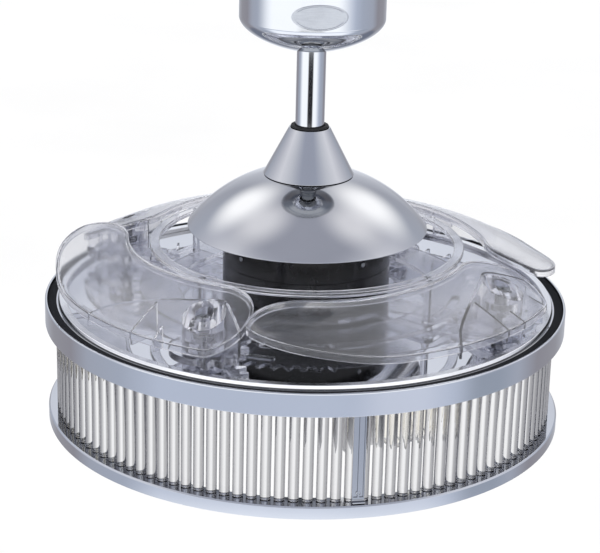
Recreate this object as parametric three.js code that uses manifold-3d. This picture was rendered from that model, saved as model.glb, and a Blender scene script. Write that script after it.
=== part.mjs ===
// A retractable blade ceiling fan: four clear blades fold round the motor above a drum lamp of glass rods.
// Millimetres, +Z up. The origin is on the ceiling, at the centre of the hanger bracket's top face.
// Inside this file heights are measured from the deck, the top edge of the chrome band, and the whole
// fan is then lowered so that the bracket touches the ceiling.
import * as THREE from "three";
import { mergeVertices } from "three/addons/utils/BufferGeometryUtils.js";
import Module from "manifold-3d";

const wasm = await Module();
wasm.setup();

// ---- Driving dimensions ----
const SEAT = 0.3; // clearance between pieces that touch or run on each other
const AIR_GAP = 0.8; // stator to magnets

// Lamp drum
const BAND_RADIUS = 232;
const BAND_HEIGHT = 20.4;
const BAND_WALL = 2;
const SHEET = 2; // mirror plate, ledges and flanges
const ROD_DIAMETER = 9;
const ROD_GAP = 2.4; // least gap between neighbouring rods, at their axes
const ROD_LENGTH = 92; // seat ring to lower ledge
const ROD_SIDES = 5;
const ROD_TO_BAND = 7.5; // outside of the rods to the inside of the band
const SEAT_RING_WIDTH = 11.4;
const SEAT_RING_HEIGHT = 3;
const BASE_RING_SETBACK = 1.8; // band to lower ring, in radius
const BASE_RING_HEIGHT = 11;
const BASE_RING_WIDTH = 18;
const TRIM_TO_BAND = 10; // trim bead to the inside of the band
const TRIM_WIDTH = 7;
const TRIM_HEIGHT = 2.6;
const POST_WIDTH = 10.5;
const POST_THICKNESS = 1.8;
const POST_AZIMUTHS = [282, 42, 162];

// Lamps, lying level on a circle inside the drum
const LAMP_AZIMUTHS = [292, 52, 172];
const LAMP_TO_RODS = 56; // lamp axis to the middle of the rods
const LAMP_DEPTH = 58; // deck to lamp axis
const HOLDER_RADIUS = 19;
const HOLDER_LENGTH = 30;
const LAMP_CAP_RADIUS = 24;
const LAMP_COIL_RADIUS = 15.5;
const LAMP_TUBE_RADIUS = 5.5;
const LAMP_COIL_TURNS = 2.5;
const LAMP_COIL_PITCH = 14;

// Motor
const SHAFT_RADIUS = 9;
const SHAFT_BORE = 6;
const SHAFT_COLLAR = 9; // width of the shoulder that the mirror plate is clamped against
const SHAFT_BELOW_PLATE = 13;
const MOTOR_RADIUS = 74.5;
const MOTOR_WALL = 2.5;
const MOTOR_CROWN = 14; // rise of the upper shell's top
const MAGNET_THICKNESS = 10.9;
const STATOR_HEIGHT = 20;
const STATOR_SLOTS = 12;
const WINDING_HEIGHT = 11;
const WINDING_ROOM = 4.2; // winding to the inside of either shell
const BEARING_RADIUS = 20;
const BEARING_HEIGHT = 8;

// Dome, coupling and downrod
const DOME_RIM_RADIUS = 106.2;
const DOME_LIFT = 5.4; // motor's shoulder to the dome's rim
const DOME_RADIUS = 133; // of the sphere that the dome is part of
const DOME_WALL = 1.5;
const CONE_BOTTOM_RADIUS = 39.8;
const CONE_HEIGHT = 42;
const CONE_WALL = 1.2;
const SEAL_HEIGHT = 3.4;
const SEAL_WIDTH = 4.3;
const DOWNROD_RADIUS = 12.7;
const DOWNROD_WALL = 1.8;
const DOWNROD_SHOWN = 66; // cone seal to canopy
const YOKE_WALL = 6;
const YOKE_FLANGE = 34;
const YOKE_FLANGE_SHEET = 2.5;
const YOKE_GAP = 11; // motor's top to the yoke
const PIN_RADIUS = 3;

// Canopy and hanger
const CANOPY_RADIUS = 63;
const CANOPY_WALL = 1.2;
const CANOPY_TO_ROD = 3.5;
const CANOPY_FALL = 22.4; // neck to crease, in height
const CANOPY_CORNER = 9; // rounding of the crease
const CANOPY_SIDE = 53.8; // crease to ceiling
const BALL_WALL = 11; // downrod to the ball's widest circle
const BALL_LIFT = 16; // canopy's crease to the ball's middle
const BRACKET_SHEET = 2.5;
const BRACKET_WIDTH = 24;
const SCREW_RADIUS = 2;
const SCREW_DEPTH = 11; // ceiling to the canopy's screws

// Blade carrier and blade drive
const CARRIER_LIFT = 3.5; // running gap over the mirror plate
const CARRIER_THICKNESS = 4.2;
const CARRIER_HUB_INNER = 30;
const CARRIER_HUB_RIM = 9.5; // how far the hub reaches past the motor
const CARRIER_ARM_WIDTH = 30;
const CARRIER_BOSS_RADIUS = 18;
const GUIDE_RADIUS = 3.2; // posts between the carrier plate and its top ring
const GUIDE_AHEAD = 14; // degrees from a pivot to its post
const RIM_RING_WIDTH = 8.5;
const RIM_TO_BLADE = 6.75; // top ring to the blades' inner edge
const RIM_RING_HEIGHT = 4;
const RIM_RING_TOP = 50;
const GEAR_MODULE = 4;
const PINION_TEETH = 17;
const ADDENDUM = 2.9;
const DEDENDUM = 4.2;
const TOOTH_SHARE = 0.4; // of the pitch, at the pitch circle
const SYNC_WIDTH = 22; // ring's inner edge to the circle of the posts
const SYNC_THICKNESS = 3.5;
const SPARE_TURN = 9; // degrees of extra teeth at each end of the sync ring's sectors
const PINION_SPARE_TURN = 32; // the same on a pinion
const PINION_THICKNESS = 6;
const PINION_KEY = 8; // hexagon that drives the blade
const PINION_KEY_HEIGHT = 3;

// Blades. Azimuth 0 is to the right of the viewer, 270 faces the viewer.
const BLADE_COUNT = 4;
const FIRST_PIVOT_AZIMUTH = 244;
const BLADE_SWING = 126; // degrees, folded to spread
const BLADE_TIP_GAP = 0.1; // degrees between a tip and the next blade's root
const BLADE_TIP_ROUND = 15.5; // degrees of the sweep that the round tip takes
const BLADE_RIM_SETBACK = 10; // band to the blades' outer edge, in radius
const BLADE_TIP_SETBACK = 19; // outer edge to the middle of the tip, in radius
const BLADE_TIP_WIDTH = 64; // where the round tip begins
const BLADE_ROOT_RADIUS = 40; // round root about the pivot
const PIVOT_SETBACK = 46; // band to the pivots, in radius, to the nearest whole gear
const BLADE_RIM_HEIGHT = 23.5;
const BLADE_TIP_RISE = 15; // how far the outer edge climbs towards the tip
const BLADE_INNER_HEIGHT = 53;
const BLADE_CROWN = 4; // bulge of the blade's section
const BLADE_SKIN = 2.6;
const BLADE_RIB = 2.2;
const BOSS_WALL = 7;
const PIVOT_RADIUS = 4;
const PIVOT_HEAD = 7;
const PIVOT_HEAD_HEIGHT = 2.4;
const SPRING_WIRE = 1.5;
const SPRING_RADIUS = 8.2;
const SPRING_TURNS = 3;
const SPRING_PITCH = 2.2;
const SPRING_SPARE = 2.05; // spring to its chamber's wall
const CHAMBER_FLOOR = 3; // floor of the spring's chamber

// Facets
const FINE = 32;
const PLAIN = 18;
const COARSE = 16;
const SMALL = 10;
const DOME_STEPS = 5;

// ---- Places worked out from the sizes above ----
const rad = THREE.MathUtils.degToRad;
// Radius of a faceted hole whose flats clear a round piece by the seat clearance.
const clearOf = (radius, facets = SMALL, gap = SEAT) => (radius + gap) / Math.cos(Math.PI / facets);
const PLATE_TOP = -SHEET;
const PLATE_BOTTOM = PLATE_TOP - SHEET;
const BAND_INSIDE = BAND_RADIUS - BAND_WALL;
const ROD_CIRCLE = BAND_INSIDE - ROD_TO_BAND - ROD_DIAMETER / 2;
const ROD_COUNT = Math.floor((2 * Math.PI * ROD_CIRCLE) / (ROD_DIAMETER + ROD_GAP));
const TRIM_INNER = BAND_INSIDE - TRIM_TO_BAND - TRIM_WIDTH;
const LAMP_CIRCLE = ROD_CIRCLE - LAMP_TO_RODS;
const LEDGE_INNER = ROD_CIRCLE + SEAT_RING_WIDTH / 2 + SEAT;
const SEAT_RING_TOP = PLATE_BOTTOM - SEAT;
const SEAT_RING_BOTTOM = SEAT_RING_TOP - SEAT_RING_HEIGHT;
const ROD_BOTTOM = SEAT_RING_BOTTOM - ROD_LENGTH;
const BASE_RING_TOP = ROD_BOTTOM - SEAT;
const BASE_RING_OUTER = BAND_RADIUS - BASE_RING_SETBACK;
const POST_INNER = ROD_CIRCLE + ROD_DIAMETER / 2 + 0.7;
const POST_OUTER = Math.hypot(POST_INNER + POST_THICKNESS, POST_WIDTH / 2);
const FLANGE_INNER = (POST_OUTER + SEAT) / Math.cos(Math.PI / FINE);

const CARRIER_BOTTOM = PLATE_TOP + CARRIER_LIFT;
const CARRIER_TOP = CARRIER_BOTTOM + CARRIER_THICKNESS;
const DRIVE_BOTTOM = CARRIER_TOP + SEAT;
const SYNC_TOP = DRIVE_BOTTOM + SYNC_THICKNESS;
const PINION_TOP = DRIVE_BOTTOM + PINION_THICKNESS;
const BLADE_FLOOR = PINION_TOP + SEAT;

// The sync ring has a whole number of teeth for each blade, and the pivots stand where its pinions mesh.
const TEETH_FOR_BAND = (2 * (BAND_RADIUS - PIVOT_SETBACK)) / GEAR_MODULE - PINION_TEETH;
const RING_TEETH = BLADE_COUNT * Math.round(TEETH_FOR_BAND / BLADE_COUNT);
const PIVOT_CIRCLE = (GEAR_MODULE * (RING_TEETH + PINION_TEETH)) / 2;
const SYNC_SWING = (BLADE_SWING * PINION_TEETH) / RING_TEETH;
const BLADE_RIM = BAND_RADIUS - BLADE_RIM_SETBACK;
const BLADE_TIP_RADIUS = BLADE_RIM - BLADE_TIP_SETBACK;
const BLADE_INNER_TIP = BLADE_RIM - BLADE_TIP_WIDTH;
const BLADE_INNER_ROOT = PIVOT_CIRCLE - BLADE_ROOT_RADIUS;
const ROOT_TURN = THREE.MathUtils.radToDeg(Math.asin(BLADE_ROOT_RADIUS / PIVOT_CIRCLE));
const BLADE_SWEEP = 360 / BLADE_COUNT - ROOT_TURN - BLADE_TIP_GAP; // degrees, pivot to tip
const GUIDE_CIRCLE = BLADE_INNER_ROOT - RIM_TO_BLADE - RIM_RING_WIDTH / 2;
const SYNC_INNER = GUIDE_CIRCLE - SYNC_WIDTH;
const KEY_TOP = PINION_TOP + PINION_KEY_HEIGHT;
const CHAMBER_BOTTOM = KEY_TOP + SEAT + CHAMBER_FLOOR;
const SPRING_BOTTOM = CHAMBER_BOTTOM + SEAT + SPRING_WIRE / 2;
const CHAMBER_TOP = SPRING_BOTTOM + SPRING_TURNS * SPRING_PITCH + SPRING_WIRE / 2 + SEAT;
const SPRING_ROOM = SPRING_RADIUS + SPRING_WIRE / 2 + SPRING_SPARE; // radius of the spring's chamber
const BOSS_RADIUS = SPRING_ROOM + BOSS_WALL;
const HEAD_ROOM = clearOf(PIVOT_HEAD);
const HEAD_TOP = bladeHeight(0, PIVOT_CIRCLE + HEAD_ROOM) - SEAT; // sunk below the blade's skin
const HEAD_BOTTOM = HEAD_TOP - PIVOT_HEAD_HEIGHT;

const MOTOR_BOTTOM = CARRIER_TOP + SEAT;
const COIL_END = STATOR_HEIGHT / 2 + SEAT + WINDING_HEIGHT + WINDING_ROOM; // from the motor's split
const MOTOR_SPLIT = MOTOR_BOTTOM + MOTOR_WALL + COIL_END;
const MOTOR_SHOULDER = MOTOR_SPLIT + COIL_END;
const MOTOR_TOP = MOTOR_SHOULDER + MOTOR_CROWN;
const STATOR_RADIUS = MOTOR_RADIUS - MOTOR_WALL - SEAT - MAGNET_THICKNESS - AIR_GAP;
const STATOR_BOTTOM = MOTOR_SPLIT - STATOR_HEIGHT / 2;
const STATOR_TOP = STATOR_BOTTOM + STATOR_HEIGHT;
const CARRIER_HUB_OUTER = MOTOR_RADIUS + CARRIER_HUB_RIM;

const DOME_RIM_HEIGHT = MOTOR_SHOULDER + DOME_LIFT;
const DOME_CENTRE = DOME_RIM_HEIGHT - Math.sqrt(DOME_RADIUS ** 2 - DOME_RIM_RADIUS ** 2);
const domeHeight = (r, sphere = DOME_RADIUS) => DOME_CENTRE + Math.sqrt(sphere ** 2 - r ** 2);
const CONE_BOTTOM = domeHeight(CONE_BOTTOM_RADIUS - CONE_WALL) + SEAT;
const CONE_TOP = CONE_BOTTOM + CONE_HEIGHT;
const CONE_TOP_RADIUS = DOWNROD_RADIUS + SEAT + SEAL_WIDTH + 0.6;
const SEAL_BOTTOM = CONE_TOP + SEAT;
const NECK = SEAL_BOTTOM + SEAL_HEIGHT + DOWNROD_SHOWN;
const CREASE = NECK + CANOPY_FALL;
const CEILING = CREASE + CANOPY_SIDE;
const SCREW_HEIGHT = CEILING - SCREW_DEPTH;
const CANOPY_NECK = DOWNROD_RADIUS + CANOPY_TO_ROD;
const TAB_OUTER = CANOPY_RADIUS - CANOPY_WALL - 1.6;
const DOME_LEAN = Math.asin(DOME_RIM_RADIUS / DOME_RADIUS) / DOME_STEPS; // more than one facet of the dome
const FLANGE_TOP =
  domeHeight(YOKE_FLANGE, (DOME_RADIUS - DOME_WALL) * Math.cos(DOME_LEAN / 2)) - SEAT;
const YOKE_RADIUS = DOWNROD_RADIUS + SEAT + YOKE_WALL;
const YOKE_BOTTOM = MOTOR_TOP + YOKE_GAP;
const SHAFT_TOP = FLANGE_TOP - 7;
const DOWNROD_BOTTOM = SHAFT_TOP + 1;
const YOKE_TOP = CONE_TOP - 14;
const YOKE_PIN_HEIGHT = (DOWNROD_BOTTOM + YOKE_TOP) / 2 + 3;
const BALL_RADIUS = DOWNROD_RADIUS + SEAT + BALL_WALL;
const BALL_HEIGHT = CREASE + BALL_LIFT;
const DOWNROD_TOP = BALL_HEIGHT + 0.75 * BALL_RADIUS;

// ---- Materials ----
function finish(color, roughness, metalness, opacity = 1) {
  return new THREE.MeshStandardMaterial({
    color,
    roughness,
    metalness,
    opacity,
    transparent: opacity < 1,
  });
}
const CHROME = finish(0xc1c8d4, 0.08, 1);
const SATIN = finish(0x9a9fac, 0.32, 1);
const STEEL = finish(0x8d9097, 0.4, 1);
const MIRROR = finish(0xe9ecef, 0.02, 1);
const BLACK = finish(0x242424, 0.4, 0.2);
const RUBBER = finish(0x1c1c1e, 0.8, 0);
const CLEAR = finish(0xd9dce8, 0.06, 0, 0.45);
const GLASS = finish(0xf4f6f8, 0.03, 0, 0.5);
const COPPER = finish(0xa5683f, 0.5, 0.9);
const MAGNET = finish(0x3a3a3d, 0.5, 0.6);
const SOCKET = finish(0x2b2b2d, 0.5, 0);
const LAMP = finish(0xcaa98a, 0.4, 0);

// ---- Solids ----
function solid(geometry) {
  const bare = new THREE.BufferGeometry();
  bare.setAttribute("position", geometry.getAttribute("position"));
  bare.setIndex(geometry.index);
  const merged = mergeVertices(bare, 1e-4);
  return new wasm.Manifold(
    new wasm.Mesh({
      numProp: 3,
      vertProperties: merged.attributes.position.array,
      triVerts: new Uint32Array(merged.index.array),
    }),
  );
}

function surface(manifold) {
  const mesh = manifold.getMesh();
  const geometry = new THREE.BufferGeometry();
  geometry.setAttribute("position", new THREE.BufferAttribute(mesh.vertProperties, 3));
  geometry.setIndex(new THREE.BufferAttribute(mesh.triVerts, 1));
  geometry.computeVertexNormals();
  return geometry;
}

const join = (...pieces) => surface(pieces.map(solid).reduce((all, next) => all.add(next)));
const cut = (piece, ...tools) =>
  surface(tools.map(solid).reduce((left, tool) => left.subtract(tool), solid(piece)));
const meet = (a, b) => surface(solid(a).intersect(solid(b)));

// Turns a profile of [radius, height] points about +Z. It runs anticlockwise with the axis on its left,
// and either starts and ends on the axis or comes back to its first point.
function turned(profile, facets = PLAIN) {
  const points = profile.map(([r, z]) => new THREE.Vector2(r, z));
  return new THREE.LatheGeometry(points, facets).rotateX(Math.PI / 2);
}

function disc(radius, bottom, top, facets = PLAIN) {
  return turned([[0, bottom], [radius, bottom], [radius, top], [0, top]], facets);
}

function ring(inner, outer, bottom, top, facets = PLAIN) {
  return turned([[outer, bottom], [outer, top], [inner, top], [inner, bottom], [outer, bottom]], facets);
}

// A shell whose outside is the profile, with its wall on the side of the axis.
function shell(outside, wall, facets = PLAIN) {
  const inside = outside.map(([r, z], i) => {
    const [r0, z0] = outside[Math.max(i - 1, 0)];
    const [r1, z1] = outside[Math.min(i + 1, outside.length - 1)];
    const length = Math.hypot(r1 - r0, z1 - z0);
    return [r - (wall * (z1 - z0)) / length, z + (wall * (r1 - r0)) / length];
  });
  return turned([...outside, ...inside.reverse(), outside[0]], facets);
}

function slab(shape, bottom, top, curveSegments = 12) {
  const options = { depth: top - bottom, bevelEnabled: false, curveSegments };
  return new THREE.ExtrudeGeometry(shape, options).translate(0, 0, bottom);
}

function block(x0, x1, y0, y1, z0, z1) {
  const box = new THREE.BoxGeometry(x1 - x0, y1 - y0, z1 - z0);
  return box.translate((x0 + x1) / 2, (y0 + y1) / 2, (z0 + z1) / 2);
}

function rodAlong(axis, radius, length, facets = SMALL) {
  const rod = new THREE.CylinderGeometry(radius, radius, length, facets);
  if (axis === "x") rod.rotateZ(Math.PI / 2);
  if (axis === "z") rod.rotateX(Math.PI / 2);
  return rod;
}

// A tube with flat ends along a curve.
function tube(curve, radius, sides, steps) {
  const section = new THREE.Shape(
    Array.from({ length: sides }, (_, i) => {
      const turn = (2 * Math.PI * i) / sides;
      return new THREE.Vector2(radius * Math.cos(turn), radius * Math.sin(turn));
    }),
  );
  return new THREE.ExtrudeGeometry(section, { steps, extrudePath: curve, bevelEnabled: false });
}

// Joins rings of points, each the same number and going the same way, into one closed skin.
function loft(rings) {
  const count = rings[0].length;
  const position = rings.flat().flatMap((p) => [p.x, p.y, p.z]);
  const index = [];
  for (let i = 0; i + 1 < rings.length; i++)
    for (let j = 0; j < count; j++) {
      const a = i * count + j;
      const b = i * count + ((j + 1) % count);
      index.push(a, b, b + count, a, b + count, a + count);
    }
  const last = (rings.length - 1) * count;
  for (let j = 1; j <= count / 2 - 1; j++) {
    const k = count - 1 - j;
    index.push(j - 1, k, j, j - 1, k + 1, k);
    index.push(last + j - 1, last + j, last + k, last + j - 1, last + k, last + k + 1);
  }
  const geometry = new THREE.BufferGeometry();
  geometry.setAttribute("position", new THREE.BufferAttribute(new Float32Array(position), 3));
  geometry.setIndex(index);
  return geometry;
}

const flat = (r, degrees) => new THREE.Vector2(r * Math.cos(rad(degrees)), r * Math.sin(rad(degrees)));
const polar = (r, degrees, z = 0) => new THREE.Vector3(...flat(r, degrees), z);
const around = (geometry, degrees) => geometry.clone().rotateZ(rad(degrees));
const atEachBlade = (geometry) =>
  Array.from({ length: BLADE_COUNT }, (_, i) => around(geometry, (i * 360) / BLADE_COUNT));

// ---- Lamp drum ----
function mirrorPlate() {
  return ring(SHAFT_RADIUS + SEAT, BAND_INSIDE - SEAT, PLATE_BOTTOM, PLATE_TOP, FINE);
}

function topBand() {
  const lip = 1.2;
  return turned(
    [
      [BAND_RADIUS, -BAND_HEIGHT],
      [BAND_RADIUS, -lip],
      [BAND_RADIUS - lip, 0],
      [BAND_INSIDE, 0],
      [BAND_INSIDE, SEAT_RING_TOP],
      [LEDGE_INNER, SEAT_RING_TOP],
      [LEDGE_INNER, SEAT_RING_TOP - SHEET],
      [BAND_INSIDE, SEAT_RING_TOP - SHEET],
      [BAND_INSIDE, SHEET - BAND_HEIGHT],
      [FLANGE_INNER, SHEET - BAND_HEIGHT],
      [FLANGE_INNER, -BAND_HEIGHT],
      [BAND_RADIUS, -BAND_HEIGHT],
    ],
    FINE,
  );
}

function trimRing() {
  const bottom = PLATE_TOP + SEAT;
  const middle = TRIM_INNER + TRIM_WIDTH / 2;
  return turned(
    [
      [TRIM_INNER + TRIM_WIDTH, bottom],
      [middle + TRIM_WIDTH / 4, bottom + TRIM_HEIGHT],
      [middle - TRIM_WIDTH / 4, bottom + TRIM_HEIGHT],
      [TRIM_INNER, bottom],
      [TRIM_INNER + TRIM_WIDTH, bottom],
    ],
    FINE,
  );
}

// The clear seat ring with every glass rod hanging from it.
function glassRods() {
  const half = SEAT_RING_WIDTH / 2;
  const seat = ring(ROD_CIRCLE - half, ROD_CIRCLE + half, SEAT_RING_BOTTOM, SEAT_RING_TOP, FINE);
  const buried = SEAT_RING_HEIGHT / 2;
  const length = ROD_LENGTH + buried;
  const rod = rodAlong("z", ROD_DIAMETER / 2, length, ROD_SIDES);
  rod.translate(ROD_CIRCLE, 0, ROD_BOTTOM + length / 2);
  const rods = Array.from({ length: ROD_COUNT }, (_, i) => around(rod, ((i + 0.5) * 360) / ROD_COUNT));
  return join(seat, ...rods);
}

function baseRing() {
  const outer = BASE_RING_OUTER;
  const inner = BASE_RING_OUTER - BASE_RING_WIDTH;
  const top = BASE_RING_TOP;
  const bottom = top - BASE_RING_HEIGHT;
  return turned(
    [
      [outer, bottom],
      [outer, top - 1.2],
      [outer - 1.2, top],
      [inner, top],
      [inner, top - SHEET],
      [outer - SHEET, top - SHEET],
      [outer - SHEET, bottom],
      [outer, bottom],
    ],
    FINE,
  );
}

// A flat strip that carries the lower ring from the band, with a foot on the ledge.
function cagePost() {
  const top = SEAT_RING_BOTTOM - SEAT;
  const foot = BASE_RING_OUTER - 2.2 - POST_INNER;
  const half = POST_WIDTH / 2;
  return join(
    block(POST_INNER, POST_INNER + POST_THICKNESS, -half, half, ROD_BOTTOM, top),
    block(POST_INNER, POST_INNER + foot, -half, half, ROD_BOTTOM, ROD_BOTTOM + POST_THICKNESS),
  );
}

// Lamp holder with its strap. The lamp's axis is +X, its cap starts at x = 0.
function lampHolder() {
  const back = -HOLDER_LENGTH - SEAT;
  const cup = disc(HOLDER_RADIUS, 0, HOLDER_LENGTH, COARSE).rotateY(Math.PI / 2).translate(back, 0, 0);
  const strapTop = LAMP_DEPTH + SEAT_RING_TOP;
  const strap = block(back - 1, back + 2, -12, 12, -HOLDER_RADIUS, strapTop);
  const foot = block(back - 14, back + 2, -12, 12, strapTop - 2, strapTop);
  return join(cup, strap, foot);
}

function lampBulb() {
  const cap = turned(
    [[0, 0], [LAMP_CAP_RADIUS * 0.6, 0], [LAMP_CAP_RADIUS, 14], [LAMP_CAP_RADIUS, 22], [0, 26]],
    SMALL,
  ).rotateY(Math.PI / 2);
  class Helix extends THREE.Curve {
    getPoint(t) {
      const turn = 2 * Math.PI * LAMP_COIL_TURNS * t;
      const start = 22;
      const x = start + LAMP_COIL_TURNS * LAMP_COIL_PITCH * t;
      return new THREE.Vector3(x, LAMP_COIL_RADIUS * Math.cos(turn), LAMP_COIL_RADIUS * Math.sin(turn));
    }
  }
  return join(cap, tube(new Helix(), LAMP_TUBE_RADIUS, 5, Math.round(8 * LAMP_COIL_TURNS)));
}

// ---- Motor ----
function motorShaft() {
  const bottom = PLATE_BOTTOM - SHAFT_BELOW_PLATE;
  const collar = SHAFT_RADIUS + SHAFT_COLLAR;
  return turned([
    [SHAFT_RADIUS, bottom],
    [SHAFT_RADIUS, PLATE_TOP + SEAT],
    [collar, PLATE_TOP + SEAT],
    [collar, CARRIER_BOTTOM],
    [SHAFT_RADIUS, CARRIER_TOP],
    [SHAFT_RADIUS, SHAFT_TOP],
    [SHAFT_BORE, SHAFT_TOP],
    [SHAFT_BORE, bottom],
    [SHAFT_RADIUS, bottom],
  ], SMALL);
}

function shaftNut() {
  const top = PLATE_BOTTOM - SEAT;
  return cut(disc(SHAFT_RADIUS + 7, top - 8, top, 6), disc(SHAFT_RADIUS + SEAT, top - 9, top + 1, COARSE));
}

function bearing(bottom) {
  return ring(clearOf(SHAFT_RADIUS), BEARING_RADIUS, bottom, bottom + BEARING_HEIGHT, SMALL);
}

// The lower cup: its floor is bolted to the blade carrier and holds the lower bearing.
function motorShellLower() {
  const r = MOTOR_RADIUS;
  const floor = MOTOR_BOTTOM + MOTOR_WALL;
  const hub = BEARING_RADIUS + SEAT;
  return turned([
    [SHAFT_RADIUS + 3, MOTOR_BOTTOM],
    [r - 2, MOTOR_BOTTOM],
    [r, MOTOR_BOTTOM + 2],
    [r, MOTOR_SPLIT],
    [r - MOTOR_WALL, MOTOR_SPLIT],
    [r - MOTOR_WALL, floor],
    [hub + MOTOR_WALL, floor],
    [hub + MOTOR_WALL, floor + BEARING_HEIGHT],
    [hub, floor + BEARING_HEIGHT],
    [hub, floor],
    [SHAFT_RADIUS + 3, floor],
    [SHAFT_RADIUS + 3, MOTOR_BOTTOM],
  ]);
}

function motorShellUpper() {
  const r = MOTOR_RADIUS;
  const under = MOTOR_TOP - MOTOR_WALL;
  const hub = BEARING_RADIUS + SEAT;
  return turned([
    [r, MOTOR_SPLIT + SEAT],
    [r, MOTOR_SHOULDER],
    [r - 5, MOTOR_SHOULDER + 4],
    [hub + MOTOR_WALL, MOTOR_TOP],
    [SHAFT_RADIUS + 3, MOTOR_TOP],
    [SHAFT_RADIUS + 3, under],
    [hub, under],
    [hub, under - BEARING_HEIGHT],
    [hub + MOTOR_WALL, under - BEARING_HEIGHT],
    [hub + MOTOR_WALL, under],
    [r - MOTOR_WALL - 4, MOTOR_SHOULDER + 1],
    [r - MOTOR_WALL, MOTOR_SHOULDER - 1],
    [r - MOTOR_WALL, MOTOR_SPLIT + SEAT],
    [r, MOTOR_SPLIT + SEAT],
  ]);
}

function magnetRing() {
  const inner = clearOf(STATOR_RADIUS, PLAIN, AIR_GAP);
  return ring(inner, MOTOR_RADIUS - MOTOR_WALL - SEAT, STATOR_BOTTOM, STATOR_TOP);
}

// A slotted core: each slot is open to the air gap.
function statorCore() {
  const slotFloor = STATOR_RADIUS * 0.55;
  const half = (Math.PI * slotFloor) / STATOR_SLOTS / 2;
  const slot = block(slotFloor, STATOR_RADIUS + 1, -half, half, STATOR_BOTTOM - 1, STATOR_TOP + 1);
  const slots = Array.from({ length: STATOR_SLOTS }, (_, i) => around(slot, (i * 360) / STATOR_SLOTS));
  return cut(ring(SHAFT_RADIUS + SEAT, STATOR_RADIUS, STATOR_BOTTOM, STATOR_TOP), ...slots);
}

function winding(bottom) {
  const top = bottom + WINDING_HEIGHT;
  const inner = STATOR_RADIUS * 0.5;
  const outer = STATOR_RADIUS * 0.9;
  const round = WINDING_HEIGHT * 0.3;
  return turned(
    [
      [outer, bottom + round],
      [outer, top - round],
      [outer - round, top],
      [inner + round, top],
      [inner, top - round],
      [inner, bottom + round],
      [inner + round, bottom],
      [outer - round, bottom],
      [outer, bottom + round],
    ],
    SMALL,
  );
}

// ---- Dome, coupling and downrod ----
function motorDome() {
  const top = YOKE_RADIUS + 3 * SEAT;
  const first = Math.asin(DOME_RIM_RADIUS / DOME_RADIUS);
  const last = Math.asin(top / DOME_RADIUS);
  const outside = Array.from({ length: DOME_STEPS + 1 }, (_, i) => {
    const lean = THREE.MathUtils.lerp(first, last, i / DOME_STEPS);
    return [DOME_RADIUS * Math.sin(lean), DOME_CENTRE + DOME_RADIUS * Math.cos(lean)];
  });
  return shell(outside, DOME_WALL, FINE);
}

function couplingCover() {
  return turned([
    [CONE_BOTTOM_RADIUS, CONE_BOTTOM],
    [CONE_TOP_RADIUS, CONE_TOP],
    [CONE_TOP_RADIUS - CONE_WALL, CONE_TOP],
    [CONE_BOTTOM_RADIUS - CONE_WALL, CONE_BOTTOM],
    [CONE_BOTTOM_RADIUS, CONE_BOTTOM],
  ]);
}

function couplingSeal() {
  const inner = DOWNROD_RADIUS + SEAT;
  return ring(inner, inner + SEAL_WIDTH, SEAL_BOTTOM, SEAL_BOTTOM + SEAL_HEIGHT);
}

// The yoke grips the shaft below and the downrod above, and its flange carries the dome.
function motorYoke() {
  const flange = FLANGE_TOP - YOKE_FLANGE_SHEET;
  const body = turned([
    [YOKE_RADIUS, YOKE_BOTTOM],
    [YOKE_RADIUS, flange],
    [YOKE_FLANGE, flange],
    [YOKE_FLANGE, FLANGE_TOP],
    [YOKE_RADIUS, FLANGE_TOP],
    [YOKE_RADIUS, YOKE_TOP],
    [DOWNROD_RADIUS + SEAT, YOKE_TOP],
    [DOWNROD_RADIUS + SEAT, SHAFT_TOP],
    [SHAFT_RADIUS + SEAT, SHAFT_TOP],
    [SHAFT_RADIUS + SEAT, YOKE_BOTTOM],
    [YOKE_RADIUS, YOKE_BOTTOM],
  ], COARSE);
  return cut(body, rodAlong("x", PIN_RADIUS + SEAT, 3 * YOKE_RADIUS).translate(0, 0, YOKE_PIN_HEIGHT));
}

function yokePin() {
  return rodAlong("x", PIN_RADIUS, 2 * YOKE_RADIUS - 1).translate(0, 0, YOKE_PIN_HEIGHT);
}

function downrod() {
  const pipe = ring(DOWNROD_RADIUS - DOWNROD_WALL, DOWNROD_RADIUS, DOWNROD_BOTTOM, DOWNROD_TOP);
  const hole = rodAlong("x", PIN_RADIUS + SEAT, 3 * DOWNROD_RADIUS);
  return cut(pipe, hole.clone().translate(0, 0, YOKE_PIN_HEIGHT), hole.clone().translate(0, 0, BALL_HEIGHT));
}

// ---- Canopy and hanger ----
function canopy() {
  const slope = Math.atan2(CANOPY_FALL, CANOPY_RADIUS - CANOPY_NECK);
  const reach = CANOPY_CORNER * Math.tan((Math.PI / 2 - slope) / 2);
  const centre = [CANOPY_RADIUS - CANOPY_CORNER, CREASE + reach];
  const steps = 2;
  const corner = Array.from({ length: steps + 1 }, (_, i) => {
    const turn = THREE.MathUtils.lerp(slope - Math.PI / 2, 0, i / steps);
    return [centre[0] + CANOPY_CORNER * Math.cos(turn), centre[1] + CANOPY_CORNER * Math.sin(turn)];
  });
  const bowl = shell([[CANOPY_NECK, NECK], ...corner, [CANOPY_RADIUS, CEILING - SEAT]], CANOPY_WALL, FINE);
  return cut(bowl, rodAlong("x", SCREW_RADIUS + SEAT, 3 * CANOPY_RADIUS, 8).translate(0, 0, SCREW_HEIGHT));
}

function canopyGrommet() {
  return ring(DOWNROD_RADIUS + SEAT, CANOPY_NECK - 0.6 * CANOPY_WALL - SEAT, NECK, NECK + 3);
}

function canopyScrew() {
  const shank = rodAlong("x", SCREW_RADIUS, 12, 8).translate(CANOPY_RADIUS - 5, 0, SCREW_HEIGHT);
  const head = rodAlong("x", 2 * SCREW_RADIUS, 2).translate(CANOPY_RADIUS + SEAT + 1, 0, SCREW_HEIGHT);
  return join(shank, head);
}

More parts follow.
